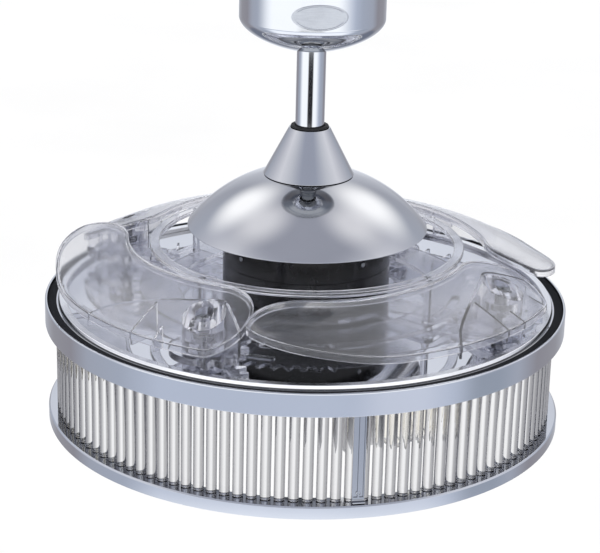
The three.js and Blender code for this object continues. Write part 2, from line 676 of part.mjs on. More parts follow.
// A folded strap: a plate on the ceiling, two legs down to the ball's seat and two tabs for the canopy.
function ceilingBracket() {
  const t = BRACKET_SHEET;
  const half = BRACKET_WIDTH / 2;
  const seatTop = BALL_HEIGHT - BALL_RADIUS / 2;
  const seatInner = Math.sqrt(BALL_RADIUS ** 2 - (BALL_HEIGHT - seatTop) ** 2) + SEAT;
  const leg = BALL_RADIUS + 8;
  const solids = [
    block(-TAB_OUTER, TAB_OUTER, -half, half, CEILING - t, CEILING),
    ring(seatInner, leg + t, seatTop - t, seatTop, COARSE),
  ];
  for (const side of [-1, 1]) {
    const inner = side * leg;
    const outer = side * (leg + t);
    solids.push(block(Math.min(inner, outer), Math.max(inner, outer), -half, half, seatTop - t, CEILING));
    const tab = [side * TAB_OUTER, side * (TAB_OUTER - t)].sort((a, b) => a - b);
    solids.push(block(tab[0], tab[1], -half / 2, half / 2, SCREW_HEIGHT - 8, CEILING));
  }
  const fixing = disc(SCREW_RADIUS + 1, CEILING - 2 * t, CEILING + 1, SMALL);
  return cut(
    join(...solids),
    fixing.clone().translate(BALL_RADIUS - 4, 0, 0),
    fixing.clone().translate(4 - BALL_RADIUS, 0, 0),
    rodAlong("x", SCREW_RADIUS + SEAT, 3 * CANOPY_RADIUS, 8).translate(0, 0, SCREW_HEIGHT),
  );
}

function hangerBall() {
  const steps = 4;
  const low = -0.72;
  const high = 0.6;
  const profile = Array.from({ length: steps + 1 }, (_, i) => {
    const lift = THREE.MathUtils.lerp(Math.asin(low), Math.asin(high), i / steps);
    return [BALL_RADIUS * Math.cos(lift), BALL_HEIGHT + BALL_RADIUS * Math.sin(lift)];
  });
  const bore = DOWNROD_RADIUS + SEAT;
  const ball = turned([
    ...profile,
    [bore, BALL_HEIGHT + BALL_RADIUS * high],
    [bore, BALL_HEIGHT + BALL_RADIUS * low],
    profile[0],
  ]);
  return cut(ball, rodAlong("x", PIN_RADIUS + SEAT, 3 * BALL_RADIUS).translate(0, 0, BALL_HEIGHT));
}

function ballPin() {
  return rodAlong("x", PIN_RADIUS, 2 * BALL_RADIUS - 5).translate(0, 0, BALL_HEIGHT);
}

// ---- Blade carrier and blade drive, drawn with the first pivot on +X ----
function carrierPlate() {
  const inner = CARRIER_HUB_INNER;
  const outer = CARRIER_HUB_OUTER;
  const half = CARRIER_ARM_WIDTH / 2;
  const arm = block(outer - 8, PIVOT_CIRCLE, -half, half, CARRIER_BOTTOM, CARRIER_TOP);
  const boss = disc(CARRIER_BOSS_RADIUS, CARRIER_BOTTOM, CARRIER_TOP, SMALL).translate(PIVOT_CIRCLE, 0, 0);
  const pad = 2.2 * GUIDE_RADIUS;
  const spoke = around(block(outer - 8, GUIDE_CIRCLE, -pad, pad, CARRIER_BOTTOM, CARRIER_TOP), -GUIDE_AHEAD);
  const foot = disc(pad, CARRIER_BOTTOM, CARRIER_TOP, SMALL).translate(GUIDE_CIRCLE, 0, 0);
  const bore = disc(PIVOT_RADIUS + SEAT, CARRIER_BOTTOM - 1, CARRIER_TOP + 1, SMALL);
  const star = join(
    ring(inner, outer, CARRIER_BOTTOM, CARRIER_TOP),
    ...[arm, boss, spoke, around(foot, -GUIDE_AHEAD)].flatMap(atEachBlade),
  );
  return cut(star, ...atEachBlade(bore.translate(PIVOT_CIRCLE, 0, 0)));
}

// The ring round the fan's open middle, standing on four posts.
function carrierRim() {
  const half = RIM_RING_WIDTH / 2;
  const low = RIM_RING_TOP - RIM_RING_HEIGHT;
  const rim = ring(GUIDE_CIRCLE - half, GUIDE_CIRCLE + half, low, RIM_RING_TOP, FINE);
  const foot = CARRIER_TOP + SEAT;
  const post = disc(GUIDE_RADIUS, foot, low + RIM_RING_HEIGHT / 2, SMALL).translate(GUIDE_CIRCLE, 0, 0);
  return join(rim, ...atEachBlade(around(post, -GUIDE_AHEAD)));
}

// The outline of a spur gear whose teeth stand only between two angles; the rest is plain.
function gearOutline(teeth, plainRadius, phase, toothed) {
  const pitchRadius = (GEAR_MODULE * teeth) / 2;
  const half = (TOOTH_SHARE * Math.PI * GEAR_MODULE) / 2;
  const lean = Math.tan(rad(20));
  const tip = pitchRadius + ADDENDUM;
  const root = pitchRadius - DEDENDUM;
  const tipAngle = (half - ADDENDUM * lean) / tip;
  const rootAngle = (half + DEDENDUM * lean) / root;
  const points = [];
  const put = (r, a) => points.push(new THREE.Vector2(r * Math.cos(a), r * Math.sin(a)));
  for (let k = 0; k < teeth; k++) {
    const degrees = phase + (k * 360) / teeth;
    const centre = rad(degrees);
    if (toothed(degrees)) {
      put(root, centre - rootAngle);
      put(tip, centre - tipAngle);
      put(tip, centre + tipAngle);
      put(root, centre + rootAngle);
    } else if (k % 2 === 0) {
      put(plainRadius, centre);
    }
  }
  return new THREE.Shape(points);
}

// The ring that keeps the blades in step. Its slots let the rim's posts through.
function syncRing() {
  const share = 360 / BLADE_COUNT;
  const toothed = (degrees) => (degrees + SPARE_TURN + share) % share < SYNC_SWING + 2 * SPARE_TURN;
  const root = (GEAR_MODULE * RING_TEETH) / 2 - DEDENDUM;
  const outline = gearOutline(RING_TEETH, root, 180 / RING_TEETH, toothed);
  const middle = disc(SYNC_INNER, DRIVE_BOTTOM - 1, SYNC_TOP + 1, FINE);
  const body = cut(slab(outline, DRIVE_BOTTOM, SYNC_TOP), middle);
  const half = GUIDE_RADIUS + 2 * SEAT;
  const slot = new THREE.Shape();
  const end = rad(SYNC_SWING);
  slot.absarc(0, 0, GUIDE_CIRCLE + half, 0, end, false);
  slot.absarc(GUIDE_CIRCLE * Math.cos(end), GUIDE_CIRCLE * Math.sin(end), half, end, end + Math.PI, false);
  slot.absarc(0, 0, GUIDE_CIRCLE - half, end, 0, true);
  slot.absarc(GUIDE_CIRCLE, 0, half, Math.PI, 2 * Math.PI, false);
  const tool = around(slab(slot, DRIVE_BOTTOM - 1, SYNC_TOP + 1, 2), -GUIDE_AHEAD);
  return cut(body, ...atEachBlade(tool));
}

// The pinion under a blade's root, drawn about its own pivot with the fan's axis towards -X.
function pinion() {
  const toothed = (degrees) => {
    const turn = degrees % 360;
    return turn > 180 - BLADE_SWING - PINION_SPARE_TURN && turn < 180 + PINION_SPARE_TURN;
  };
  const root = (GEAR_MODULE * PINION_TEETH) / 2 - DEDENDUM;
  const outline = gearOutline(PINION_TEETH, root - 1, 180, toothed);
  return cut(
    join(slab(outline, DRIVE_BOTTOM, PINION_TOP), disc(PINION_KEY, PINION_TOP - 1, KEY_TOP, 6)),
    disc(clearOf(PIVOT_RADIUS), DRIVE_BOTTOM - 1, KEY_TOP + 1, SMALL),
  );
}

// ---- Blade, drawn with its pivot on +X and folded clockwise from it ----
// Inner and outer edge, from the fan's axis, at an angle from the pivot.
function bladeEdges(phi) {
  if (phi > 0) {
    const middle = PIVOT_CIRCLE * Math.cos(rad(phi));
    const aside = PIVOT_CIRCLE * Math.sin(rad(phi));
    const half = Math.sqrt(Math.max(BLADE_ROOT_RADIUS ** 2 - aside ** 2, 0));
    return [middle - half, Math.min(BLADE_RIM, middle + half)];
  }
  const along = Math.min(-phi / (BLADE_SWEEP - BLADE_TIP_ROUND), 1);
  const inner = THREE.MathUtils.lerp(BLADE_INNER_ROOT, BLADE_INNER_TIP, along);
  const past = Math.max(-phi - (BLADE_SWEEP - BLADE_TIP_ROUND), 0) / BLADE_TIP_ROUND;
  const full = Math.sqrt(1 - Math.min(past, 1) ** 2);
  return [
    THREE.MathUtils.lerp(BLADE_TIP_RADIUS, inner, full),
    THREE.MathUtils.lerp(BLADE_TIP_RADIUS, BLADE_RIM, full),
  ];
}

// Height of the blade's top surface.
function bladeHeight(phi, r) {
  const climb = THREE.MathUtils.smoothstep(-phi / BLADE_SWEEP, 0.55, 1);
  const rim = BLADE_RIM_HEIGHT + BLADE_TIP_RISE * climb;
  const across = (BLADE_RIM - r) / (BLADE_RIM - BLADE_INNER_ROOT);
  return rim + (BLADE_INNER_HEIGHT - rim) * across + BLADE_CROWN * Math.sin(Math.PI * across);
}

// Angles of the blade's sections: close together on the round tip and the round root.
function bladeStations() {
  const tip = [1, 0.96, 0.8, 0.45].map((u) => -(BLADE_SWEEP - BLADE_TIP_ROUND * (1 - u)));
  const stretch = 5;
  const start = BLADE_TIP_ROUND - BLADE_SWEEP;
  const middle = Array.from({ length: stretch + 1 }, (_, i) => start * (1 - i / stretch));
  const root = [0.5, 0.82, 0.975].map((u) => u * ROOT_TURN);
  return [...tip, ...middle, ...root];
}

// A solid under the blade's outline, between its top surface lowered by `drop` and the height `under` gives.
function bladeBody(inset, drop, under) {
  const rings = bladeStations().map((phi) => {
    let [inner, outer] = bladeEdges(phi);
    const least = 2;
    const spare = Math.max(0, Math.min(inset, (outer - inner) / 2 - least));
    inner += spare;
    outer -= spare;
    if (outer - inner < least) [inner, outer] = [(inner + outer - least) / 2, (inner + outer + least) / 2];
    const radii = [0, 0.5, 1].map((u) => THREE.MathUtils.lerp(inner, outer, u));
    const top = radii.map((r) => polar(r, phi, bladeHeight(phi, r) - drop));
    const low = radii.map((r) => polar(r, phi, under(phi, r))).reverse();
    return [...top, ...low];
  });
  return loft(rings);
}

// An upright wall of the ribs' thickness along a curve in plan.
function wallAlong(curve, steps) {
  const thick = BLADE_RIB;
  const low = BLADE_FLOOR;
  const high = BLADE_INNER_HEIGHT + 20;
  const rings = Array.from({ length: steps + 1 }, (_, i) => {
    const p = curve.getPoint(i / steps);
    const direction = curve.getTangent(i / steps);
    const side = new THREE.Vector2(-direction.y, direction.x).multiplyScalar(thick / 2);
    return [
      new THREE.Vector3(p.x + side.x, p.y + side.y, high),
      new THREE.Vector3(p.x - side.x, p.y - side.y, high),
      new THREE.Vector3(p.x - side.x, p.y - side.y, low),
      new THREE.Vector3(p.x + side.x, p.y + side.y, low),
    ];
  });
  return loft(rings);
}

// The moulded root: boss, round skirt, a cross wall and the truss between them, trimmed to the blade's skin.
function bladeRibs() {
  const pivot = new THREE.Vector2(PIVOT_CIRCLE, 0);
  const rimEnd = flat(BLADE_RIM - 3, -31);
  const innerEnd = flat(BLADE_INNER_ROOT + 8, -5);
  const cross = new THREE.QuadraticBezierCurve(rimEnd, flat(BLADE_RIM - 38, -24), innerEnd);
  const walls = [wallAlong(cross, 3)];
  for (const share of [0, 0.33, 0.66])
    walls.push(wallAlong(new THREE.LineCurve(pivot, cross.getPoint(share)), 1));
  const high = BLADE_INNER_HEIGHT + 20;
  const boss = disc(BOSS_RADIUS, BLADE_FLOOR, high, SMALL).translate(PIVOT_CIRCLE, 0, 0);
  const skirt = ring(BLADE_ROOT_RADIUS - BLADE_RIB - 1, BLADE_ROOT_RADIUS - 1, BLADE_FLOOR, high, COARSE);
  const halfSkirt = meet(
    skirt.translate(PIVOT_CIRCLE, 0, 0),
    block(0, 2 * PIVOT_CIRCLE, 0, BLADE_ROOT_RADIUS, 0, 2 * high),
  );
  for (const degrees of [45, 120]) {
    const end = pivot.clone().add(flat(BLADE_ROOT_RADIUS - 2, degrees));
    walls.push(wallAlong(new THREE.LineCurve(pivot, end), 1));
  }
  const core = bladeBody(0.8, BLADE_SKIN / 2, () => BLADE_FLOOR);
  return meet(join(boss, halfSkirt, ...walls), core);
}

function blade() {
  const skin = bladeBody(0, 0, (phi, r) => bladeHeight(phi, r) - BLADE_SKIN);
  const key = disc(PINION_KEY + SEAT, BLADE_FLOOR - 1, KEY_TOP + SEAT, 6).translate(PIVOT_CIRCLE, 0, 0);
  const chamber = disc(SPRING_ROOM, CHAMBER_BOTTOM, CHAMBER_TOP, SMALL).translate(PIVOT_CIRCLE, 0, 0);
  const bore = disc(clearOf(PIVOT_RADIUS), BLADE_FLOOR - 1, HEAD_TOP, SMALL).translate(PIVOT_CIRCLE, 0, 0);
  const recess = disc(HEAD_ROOM, HEAD_BOTTOM - SEAT, HEAD_TOP + BLADE_ROOT_RADIUS, SMALL);
  return cut(join(skin, bladeRibs()), key, chamber, bore, recess.translate(PIVOT_CIRCLE, 0, 0));
}

// Pivot pin, about its own axis: it stands in the carrier and its sunk head keeps the blade down.
function pivotPin() {
  const bottom = CARRIER_BOTTOM + 0.5;
  return turned([
    [0, bottom],
    [PIVOT_RADIUS, bottom],
    [PIVOT_RADIUS, HEAD_BOTTOM],
    [PIVOT_HEAD, HEAD_BOTTOM],
    [PIVOT_HEAD, HEAD_TOP],
    [0, HEAD_TOP],
  ], SMALL);
}

// Torsion spring round the pin: its lower leg bears on the chamber's wall, its upper leg on the pin.
class SpringWire extends THREE.Curve {
  getPoint(t) {
    const turn = 2 * Math.PI * SPRING_TURNS * t;
    const leg = 0.3 / SPRING_TURNS;
    const reachOut = SPRING_SPARE - SEAT;
    const reachIn = SPRING_RADIUS - PIVOT_RADIUS - SEAT - SPRING_WIRE / 2;
    const r =
      SPRING_RADIUS +
      reachOut * (1 - THREE.MathUtils.smoothstep(t, 0, leg)) -
      reachIn * THREE.MathUtils.smoothstep(t, 1 - leg, 1);
    const z = SPRING_BOTTOM + SPRING_TURNS * SPRING_PITCH * t;
    return new THREE.Vector3(r * Math.cos(turn), r * Math.sin(turn), z);
  }
}

function returnSpring() {
  return tube(new SpringWire(), SPRING_WIRE / 2, 5, 8 * SPRING_TURNS);
}

// The least gap between turns, measured between points of the wire at least half a turn apart.
function springGap() {
  const samples = 400;
  const wire = new SpringWire();
  const points = Array.from({ length: samples + 1 }, (_, i) => wire.getPoint(i / samples));
  const apart = Math.round(samples / SPRING_TURNS / 2);
  let least = Infinity;
  for (let i = 0; i <= samples; i++)
    for (let j = i + apart; j <= samples; j++) least = Math.min(least, points[i].distanceTo(points[j]));
  return least - SPRING_WIRE;
}
console.log("return spring, least gap between turns: " + springGap().toFixed(2) + " mm");

// ---- Assembly ----
const fan = new THREE.Group();
fan.position.z = -CEILING;

function add(parent, name, geometry, material) {
  const mesh = new THREE.Mesh(geometry, material);
  mesh.name = name;
  parent.add(mesh);
  return mesh;
}

function turnedGroup(degrees, x = 0, y = 0, z = 0) {
  const group = new THREE.Group();
  group.rotation.z = rad(degrees);
  group.position.set(x, y, z);
  fan.add(group);
  return group;
}

add(fan, "ceiling_bracket", ceilingBracket(), STEEL);
add(fan, "hanger_ball", hangerBall(), RUBBER);
add(fan, "hanger_ball_pin", ballPin(), STEEL);
add(fan, "canopy", canopy(), CHROME);
add(fan, "canopy_grommet", canopyGrommet(), RUBBER);
add(turnedGroup(0), "canopy_screw_right", canopyScrew(), STEEL);
add(turnedGroup(180), "canopy_screw_left", canopyScrew(), STEEL);
add(fan, "downrod", downrod(), CHROME);
add(fan, "coupling_cover", couplingCover(), SATIN);
add(fan, "coupling_seal", couplingSeal(), RUBBER);
add(fan, "motor_yoke", motorYoke(), STEEL);
add(fan, "yoke_pin", yokePin(), STEEL);
add(fan, "motor_dome", motorDome(), SATIN);
add(fan, "motor_shaft", motorShaft(), STEEL);
add(fan, "shaft_nut", shaftNut(), STEEL);
add(fan, "stator_core", statorCore(), STEEL);
add(fan, "stator_winding_upper", winding(STATOR_TOP + SEAT), COPPER);
add(fan, "stator_winding_lower", winding(STATOR_BOTTOM - SEAT - WINDING_HEIGHT), COPPER);
add(fan, "bearing_lower", bearing(MOTOR_BOTTOM + MOTOR_WALL + SEAT), STEEL);
add(fan, "bearing_upper", bearing(MOTOR_TOP - MOTOR_WALL - SEAT - BEARING_HEIGHT), STEEL);
add(fan, "mirror_plate", mirrorPlate(), MIRROR);
add(fan, "top_band", topBand(), CHROME);
add(fan, "inner_trim_ring", trimRing(), CHROME);
add(fan, "glass_rods", glassRods(), GLASS);
add(fan, "bottom_ring", baseRing(), CHROME);
POST_AZIMUTHS.forEach((azimuth, i) => add(turnedGroup(azimuth), "cage_post_" + (i + 1), cagePost(), CHROME));
LAMP_AZIMUTHS.forEach((azimuth, i) => {
  const seat = polar(LAMP_CIRCLE, azimuth, -LAMP_DEPTH);
  const group = turnedGroup(azimuth + 90, seat.x, seat.y, seat.z);
  add(group, "lamp_holder_" + (i + 1), lampHolder(), SOCKET);
  add(group, "lamp_" + (i + 1), lampBulb(), LAMP);
});

add(fan, "motor_shell_lower", motorShellLower(), BLACK);
add(fan, "motor_shell_upper", motorShellUpper(), BLACK);
add(fan, "magnet_ring", magnetRing(), MAGNET);

const rotor = turnedGroup(FIRST_PIVOT_AZIMUTH);
add(rotor, "blade_carrier", carrierPlate(), CLEAR);
add(rotor, "carrier_rim", carrierRim(), CLEAR);
add(rotor, "sync_ring", syncRing(), CLEAR);

for (let i = 0; i < BLADE_COUNT; i++) {
  const azimuth = FIRST_PIVOT_AZIMUTH + (i * 360) / BLADE_COUNT;
  const pivot = polar(PIVOT_CIRCLE, azimuth);
  const atPivot = turnedGroup(azimuth, pivot.x, pivot.y);
  add(turnedGroup(azimuth), "blade_" + (i + 1), blade(), CLEAR);
  add(atPivot, "blade_pinion_" + (i + 1), pinion(), CLEAR);
  add(atPivot, "pivot_pin_" + (i + 1), pivotPin(), STEEL);
  add(atPivot, "return_spring_" + (i + 1), returnSpring(), STEEL);
}

const part = new THREE.Group();
part.add(fan);

export default part;
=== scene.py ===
"""Looks of a retractable blade ceiling fan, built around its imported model.

Sizes are in millimetres and heights are above the deck, the top of the lamp drum's band, until
`finish` turns them into the frame's metres. Azimuth 0 is +X and 270 faces the viewer.
"""

from math import asin, atan2, cos, degrees, hypot, pi, radians, sin, sqrt, tan

import bmesh
import bpy
from mathutils import Matrix, Vector


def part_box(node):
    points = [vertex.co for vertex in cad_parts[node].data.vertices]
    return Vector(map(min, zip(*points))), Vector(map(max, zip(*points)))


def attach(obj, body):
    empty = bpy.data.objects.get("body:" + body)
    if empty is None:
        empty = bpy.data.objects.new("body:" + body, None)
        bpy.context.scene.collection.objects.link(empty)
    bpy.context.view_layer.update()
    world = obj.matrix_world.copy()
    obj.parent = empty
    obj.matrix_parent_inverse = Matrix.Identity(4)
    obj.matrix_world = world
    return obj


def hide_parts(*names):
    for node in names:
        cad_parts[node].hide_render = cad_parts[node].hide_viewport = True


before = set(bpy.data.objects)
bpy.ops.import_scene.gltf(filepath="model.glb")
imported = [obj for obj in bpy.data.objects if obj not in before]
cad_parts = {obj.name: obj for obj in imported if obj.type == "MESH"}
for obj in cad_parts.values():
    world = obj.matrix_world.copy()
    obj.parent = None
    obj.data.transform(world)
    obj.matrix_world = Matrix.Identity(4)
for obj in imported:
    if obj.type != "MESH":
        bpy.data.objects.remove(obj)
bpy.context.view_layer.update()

MM = 0.001
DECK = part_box("top_band")[1].z  # metres, in the frame
CEILING = -DECK / MM

scene = bpy.context.scene


def put_in(name, data):
    obj = bpy.data.objects.new(name, data)
    scene.collection.objects.link(obj)
    return obj


# ---- Camera: the photograph's viewpoint ----
camera = put_in("camera", bpy.data.cameras.new("camera"))
scene.camera = camera
camera.data.lens = 117.85
camera.data.sensor_width = 36
camera.data.clip_end = 100
camera.matrix_world = (
    Matrix.Translation((0, -1.6571, DECK + 0.6018))
    @ Matrix.Rotation(radians(0.182), 4, "Z")
    @ Matrix.Rotation(radians(70.521), 4, "X")
    @ Matrix.Rotation(radians(1.4115), 4, "Z")
)

# ---- Sizes, as in the model ----
BAND_RADIUS = 232
BAND_INSIDE = 230
BAND_BOTTOM = -20.4
SHEET = 2  # the rolled rings' wall
LEDGE = 224  # inner edge of the band's ledge under the rods' seat ring
ROD_RADIUS = 4.5
ROD_CIRCLE = 218
ROD_COUNT = 120
SEAT_TOP = -4.3
SEAT_BOTTOM = -7.3
SEAT_RADII = (212.3, 223.7)
ROD_BOTTOM = -99.3
BASE_RADIUS = 230.2
BASE_INSIDE = 212.2
BASE_TOP = -99.6
BASE_BOTTOM = -110.6
PLATE_RADIUS = 229.7
PLATE_HEIGHTS = (-4, -2)
BORDER_START = (221.7, 222.0)  # the mirror turns into its black border between these radii
BEAD_INSIDE = 213
BEAD_OUTSIDE = 220.5
POST_AZIMUTHS = (282, 42, 162)
POST_FACE = 223.2
POST_SHEET = 1.8
LAMP_AZIMUTHS = (292, 52, 172)
LAMP_CIRCLE = 162
LAMP_HEIGHT = -58

MOTOR_RADIUS = 74.5
MOTOR_INSIDE = 72
MOTOR_BORE = 12
MOTOR_BOTTOM = 6
MOTOR_SPLIT = 34
MOTOR_SHOULDER = 59.5
MOTOR_TOP = 73.5
SHELL_WALL = 2.5
BEARING_SEAT = 20.3
SHAFT_RADIUS = 9
SHAFT_BORE = 9.3

DOME_RADIUS = 133
DOME_WALL = 1.5
DOME_RIM = 106.2
DOME_RIM_HEIGHT = 64.9
DOME_MOUTH = 19.9
CONE = ((39.8, 112.4), (17.9, 154.4))
SEAL = 154.7
DOWNROD_RADIUS = 12.7
DOWNROD_BORE = 10.9
DOWNROD_HOLE = 13  # in the pieces that the downrod passes through
CROSS_PIN_RADIUS = 3
CROSS_HOLE_RADIUS = 3.3
BALL_RADIUS = 24
NECK = 224.1
CREASE = 246.5
CANOPY_RADIUS = 63
CANOPY_WALL = 1.2
CANOPY_SCREW_HEIGHT = CEILING - 11

PIVOT_CIRCLE = 186
FIRST_PIVOT = 244
BLADES = 4
BLADE_RIM = 222
BLADE_INSIDE = (146, 158)  # the inner edge's circle at the root and at the tip
TIP_CIRCLE = 203
BLADE_SWEEP = 77.48
OUTER_HEIGHT = 23.5
INNER_HEIGHT = 53
TIP_CLIMB = 15
CROWN = 4
TIP_ROUND = 15.5
ROOT_RADIUS = 40
ROOT_TURN = degrees(asin(ROOT_RADIUS / PIVOT_CIRCLE))
SKIN = 2.6
RIB = 2.2
FLOOR = 12.3  # underside of the blades' ribs
BOSS_RADIUS = 18
GUIDE_CIRCLE = 135
GUIDE_AHEAD = 14  # degrees from a pivot to the next guide post
GUIDE_FOOT = 7.04
GUIDE_SLOT = 3.8  # half the width of the sync ring's slots
RING_FLOOR = 6.0  # underside of the sync ring and the pinions
SYNC_SWING = 28.3
GEAR_MODULE = 4
SYNC_TEETH = 76
PINION_TEETH = 17
KEY_RADIUS = 8
PIN_HEAD = 2.4


# ---- Materials ----
def linear(r, g, b):
    """A colour given as 0-255 display values, as Blender's linear one."""
    channels = (((c / 255 + 0.055) / 1.055) ** 2.4 if c > 10 else c / 3294 for c in (r, g, b))
    return (*channels, 1)


class Tree:
    """Adds shader nodes to a node tree and links them by value."""

    def __init__(self, tree):
        self.tree = tree

    def add(self, kind, inputs=None, **settings):
        node = self.tree.nodes.new("ShaderNode" + kind)
        for key, value in settings.items():
            setattr(node, key, value)
        for key, value in (inputs or {}).items():
            self.put(node.inputs[key], value)
        return node

    def put(self, socket, value):
        if isinstance(value, bpy.types.NodeSocket):
            self.tree.links.new(value, socket)
        else:
            socket.default_value = value

    def math(self, operation, *values):
        node = self.add("Math", operation=operation)
        for socket, value in zip(node.inputs, values):
            self.put(socket, value)
        return node.outputs[0]

    def ramp(self, value, stops):
        node = self.add("ValToRGB", {"Fac": value})
        elements = node.color_ramp.elements
        while len(elements) > 1:
            elements.remove(elements[-1])
        for i, (place, colour) in enumerate(stops):
            element = elements[0] if i == 0 else elements.new(place)
            element.position = place
            element.color = colour
        return node.outputs[0]

    def blend(self, share, a, b):
        node = self.add("Mix", data_type="RGBA")
        for socket, value in zip((node.inputs[0], node.inputs[6], node.inputs[7]), (share, a, b)):
            self.put(socket, value)
        return node.outputs[2]

    def step(self, value, low, high):
        """0 below low, 1 above high and smooth between; turned round if low is above high."""
        turned = low > high
        ends = (high, low) if turned else (low, high)
        node = self.add(
            "MapRange",
            {
                "Value": value, "From Min": ends[0], "From Max": ends[1],
                "To Min": int(turned), "To Max": int(not turned),
            },
            interpolation_type="SMOOTHSTEP",
        )
        return node.outputs[0]


def material(name, tones, scale, roughness, bump=0.0, stretch=(1, 1, 1), **values):
    """A surface whose colour, roughness and bump wander with one noise."""
    made = bpy.data.materials.new(name)
    made.use_nodes = True
    tree = Tree(made.node_tree)
    shader = made.node_tree.nodes["Principled BSDF"]
    low, high = 0.3, 0.7  # the noise hardly leaves this span
    place = tree.add("TexCoord").outputs["Object"]
    place = tree.add("Mapping", {"Vector": place, "Scale": stretch}).outputs[0]
    noise = tree.add("TexNoise", {"Vector": place, "Scale": scale, "Detail": 4.0})
    noise = noise.outputs["Fac"]
    tree.put(shader.inputs["Base Color"], tree.ramp(noise, [(low, tones[0]), (high, tones[1])]))
    ends = {"From Min": low, "From Max": high, "To Min": roughness[0], "To Max": roughness[1]}
    span = tree.add("MapRange", {"Value": noise, **ends})
    tree.put(shader.inputs["Roughness"], span.outputs[0])
    if bump:
        lumps = tree.add("Bump", {"Height": noise, "Strength": bump, "Distance": 0.0002})
        tree.put(shader.inputs["Normal"], lumps.outputs[0])
    for key, value in values.items():
        shader.inputs[key.replace("_", " ")].default_value = value
    return made, tree, shader


def metal(name, low, high, scale, roughness, bump=0.0, stretch=(1, 1, 1)):
    return material(name, (low, high), scale, roughness, bump, stretch, Metallic=1.0)[0]


def clear(name, tones, ior, absorbed=None, density=0.0, roughness=(0.0, 0.03), **values):
    """Clear plastic or glass; the thicker it is along the line of sight, the more it is tinted."""
    values = {"Transmission_Weight": 1.0, **values}
    made, tree, shader = material(name, tones, 60, roughness, IOR=ior, **values)
    if density:
        volume = tree.add("VolumeAbsorption", {"Color": absorbed, "Density": density})
        out = made.node_tree.nodes["Material Output"]
        tree.put(out.inputs["Volume"], volume.outputs[0])
    return made, tree, shader


def paint(name, low, high, scale, roughness, bump=0.0):
    return material(name, (linear(*low), linear(*high)), scale, roughness, bump)[0]


def grey(level, blue=0.0):
    """A linear grey of that level, with a little more blue."""
    return (level, level, level + blue, 1)


CHROME = metal("chrome", (0.74, 0.76, 0.79, 1), (0.79, 0.81, 0.84, 1), 9, (0.03, 0.07))
POST_STEEL = metal("chrome_post", (0.50, 0.515, 0.54, 1), (0.56, 0.575, 0.60, 1), 9, (0.05, 0.12))
SATIN = metal("satin_nickel", (0.65, 0.655, 0.67, 1), (0.69, 0.695, 0.71, 1), 14, (0.05, 0.10))
BEAD = metal("bright_bead", (0.93, 0.935, 0.94, 1), (0.97, 0.97, 0.975, 1), 30, (0.12, 0.2))
PLATE = metal(
    "brushed_plate", (0.70, 0.72, 0.74, 1), (0.78, 0.80, 0.82, 1), 120, (0.34, 0.5), 0.2,
    stretch=(1, 1, 12),
)
STEEL = metal("zinc_steel", linear(140, 142, 148), linear(186, 188, 192), 90, (0.25, 0.5), 0.2)
IRON = metal(
    "core_iron", linear(96, 96, 100), linear(150, 150, 154), 300, (0.35, 0.5), 0.4,
    stretch=(0.05, 0.05, 20),
)
COPPER = metal("copper_winding", linear(150, 78, 38), linear(214, 130, 78), 400, (0.3, 0.5), 0.5)
MAGNET = metal("magnet", linear(52, 52, 56), linear(84, 84, 88), 150, (0.4, 0.6), 0.3)
BLACK = paint("motor_black", (27, 27, 29), (32, 32, 34), 120, (0.13, 0.18))
SEAL_BLACK = paint("rubber", (22, 22, 23), (40, 40, 42), 180, (0.55, 0.8), 0.3)
BALL = paint("ball_plastic", (38, 38, 40), (62, 62, 64), 160, (0.4, 0.55), 0.15)
SOCKET = paint("socket_plastic", (232, 232, 234), (243, 243, 244), 160, (0.4, 0.55), 0.15)
LAMP = clear(
    "lamp_glass", ((0.90, 0.87, 0.80, 1), (0.96, 0.95, 0.91, 1)), 1.16, roughness=(0.1, 0.2)
)[0]
LAVENDER = (0.5, 0.5, 0.62, 1)  # what the clear plastic lets through where it is thick
PLASTIC = clear(
    "clear_plastic", ((0.84, 0.845, 0.88, 1), (0.89, 0.893, 0.92, 1)), 1.49, LAVENDER, 4,
    (0.04, 0.08), Transmission_Weight=0.96,
)[0]
GEAR_PLASTIC = clear(
    "clear_plastic_gears", ((0.88, 0.885, 0.91, 1), (0.92, 0.923, 0.94, 1)), 1.2, LAVENDER, 4,
    (0.12, 0.2), Specular_IOR_Level=0.3,
)[0]


def rod_glass():
    """Clear glass with painted shade: grey where it is seen edge on and in a stripe on each rod's
    right.
    """
    made, tree, shader = clear("rod_glass", ((0.97, 0.98, 0.98, 1), (1, 1, 1, 1)), 1.5)
    # Painted shade: the base colour greys where a rod is seen edge on.
    facing = tree.add("LayerWeight", {"Blend": 0.5}).outputs["Facing"]
    rim = tree.ramp(
        facing,
        [
            (0.0, grey(1)), (0.03, grey(0.98, 0.005)), (0.083, grey(0.84, 0.01)),
            (0.2, grey(0.52, 0.015)), (0.4, grey(0.3, 0.02)), (1.0, grey(0.2, 0.02)),
        ],
    )
    normal = tree.add("NewGeometry").outputs["Normal"]
    across = tree.add("SeparateXYZ", {"Vector": normal}).outputs["X"]
    # Painted shade: a grey stripe down each rod's right side, as if the rods were lit from the
    # left.
    shade = tree.ramp(
        across,
        [
            (0.0, grey(1)), (0.16, grey(0.98)), (0.26, grey(0.6, 0.01)), (0.38, grey(0.42, 0.01)),
            (0.6, grey(0.6, 0.01)), (0.85, grey(0.9, 0.01)), (1.0, grey(1)),
        ],
    )
    # Both painted shades darken the glass's base colour.
    painted_rod_shade = tree.add("Mix", {0: 1.0, 6: rim, 7: shade}, data_type="RGBA", blend_type="MULTIPLY")
    tree.put(shader.inputs["Base Color"], painted_rod_shade.outputs[2])
    return made


GLASS = rod_glass()


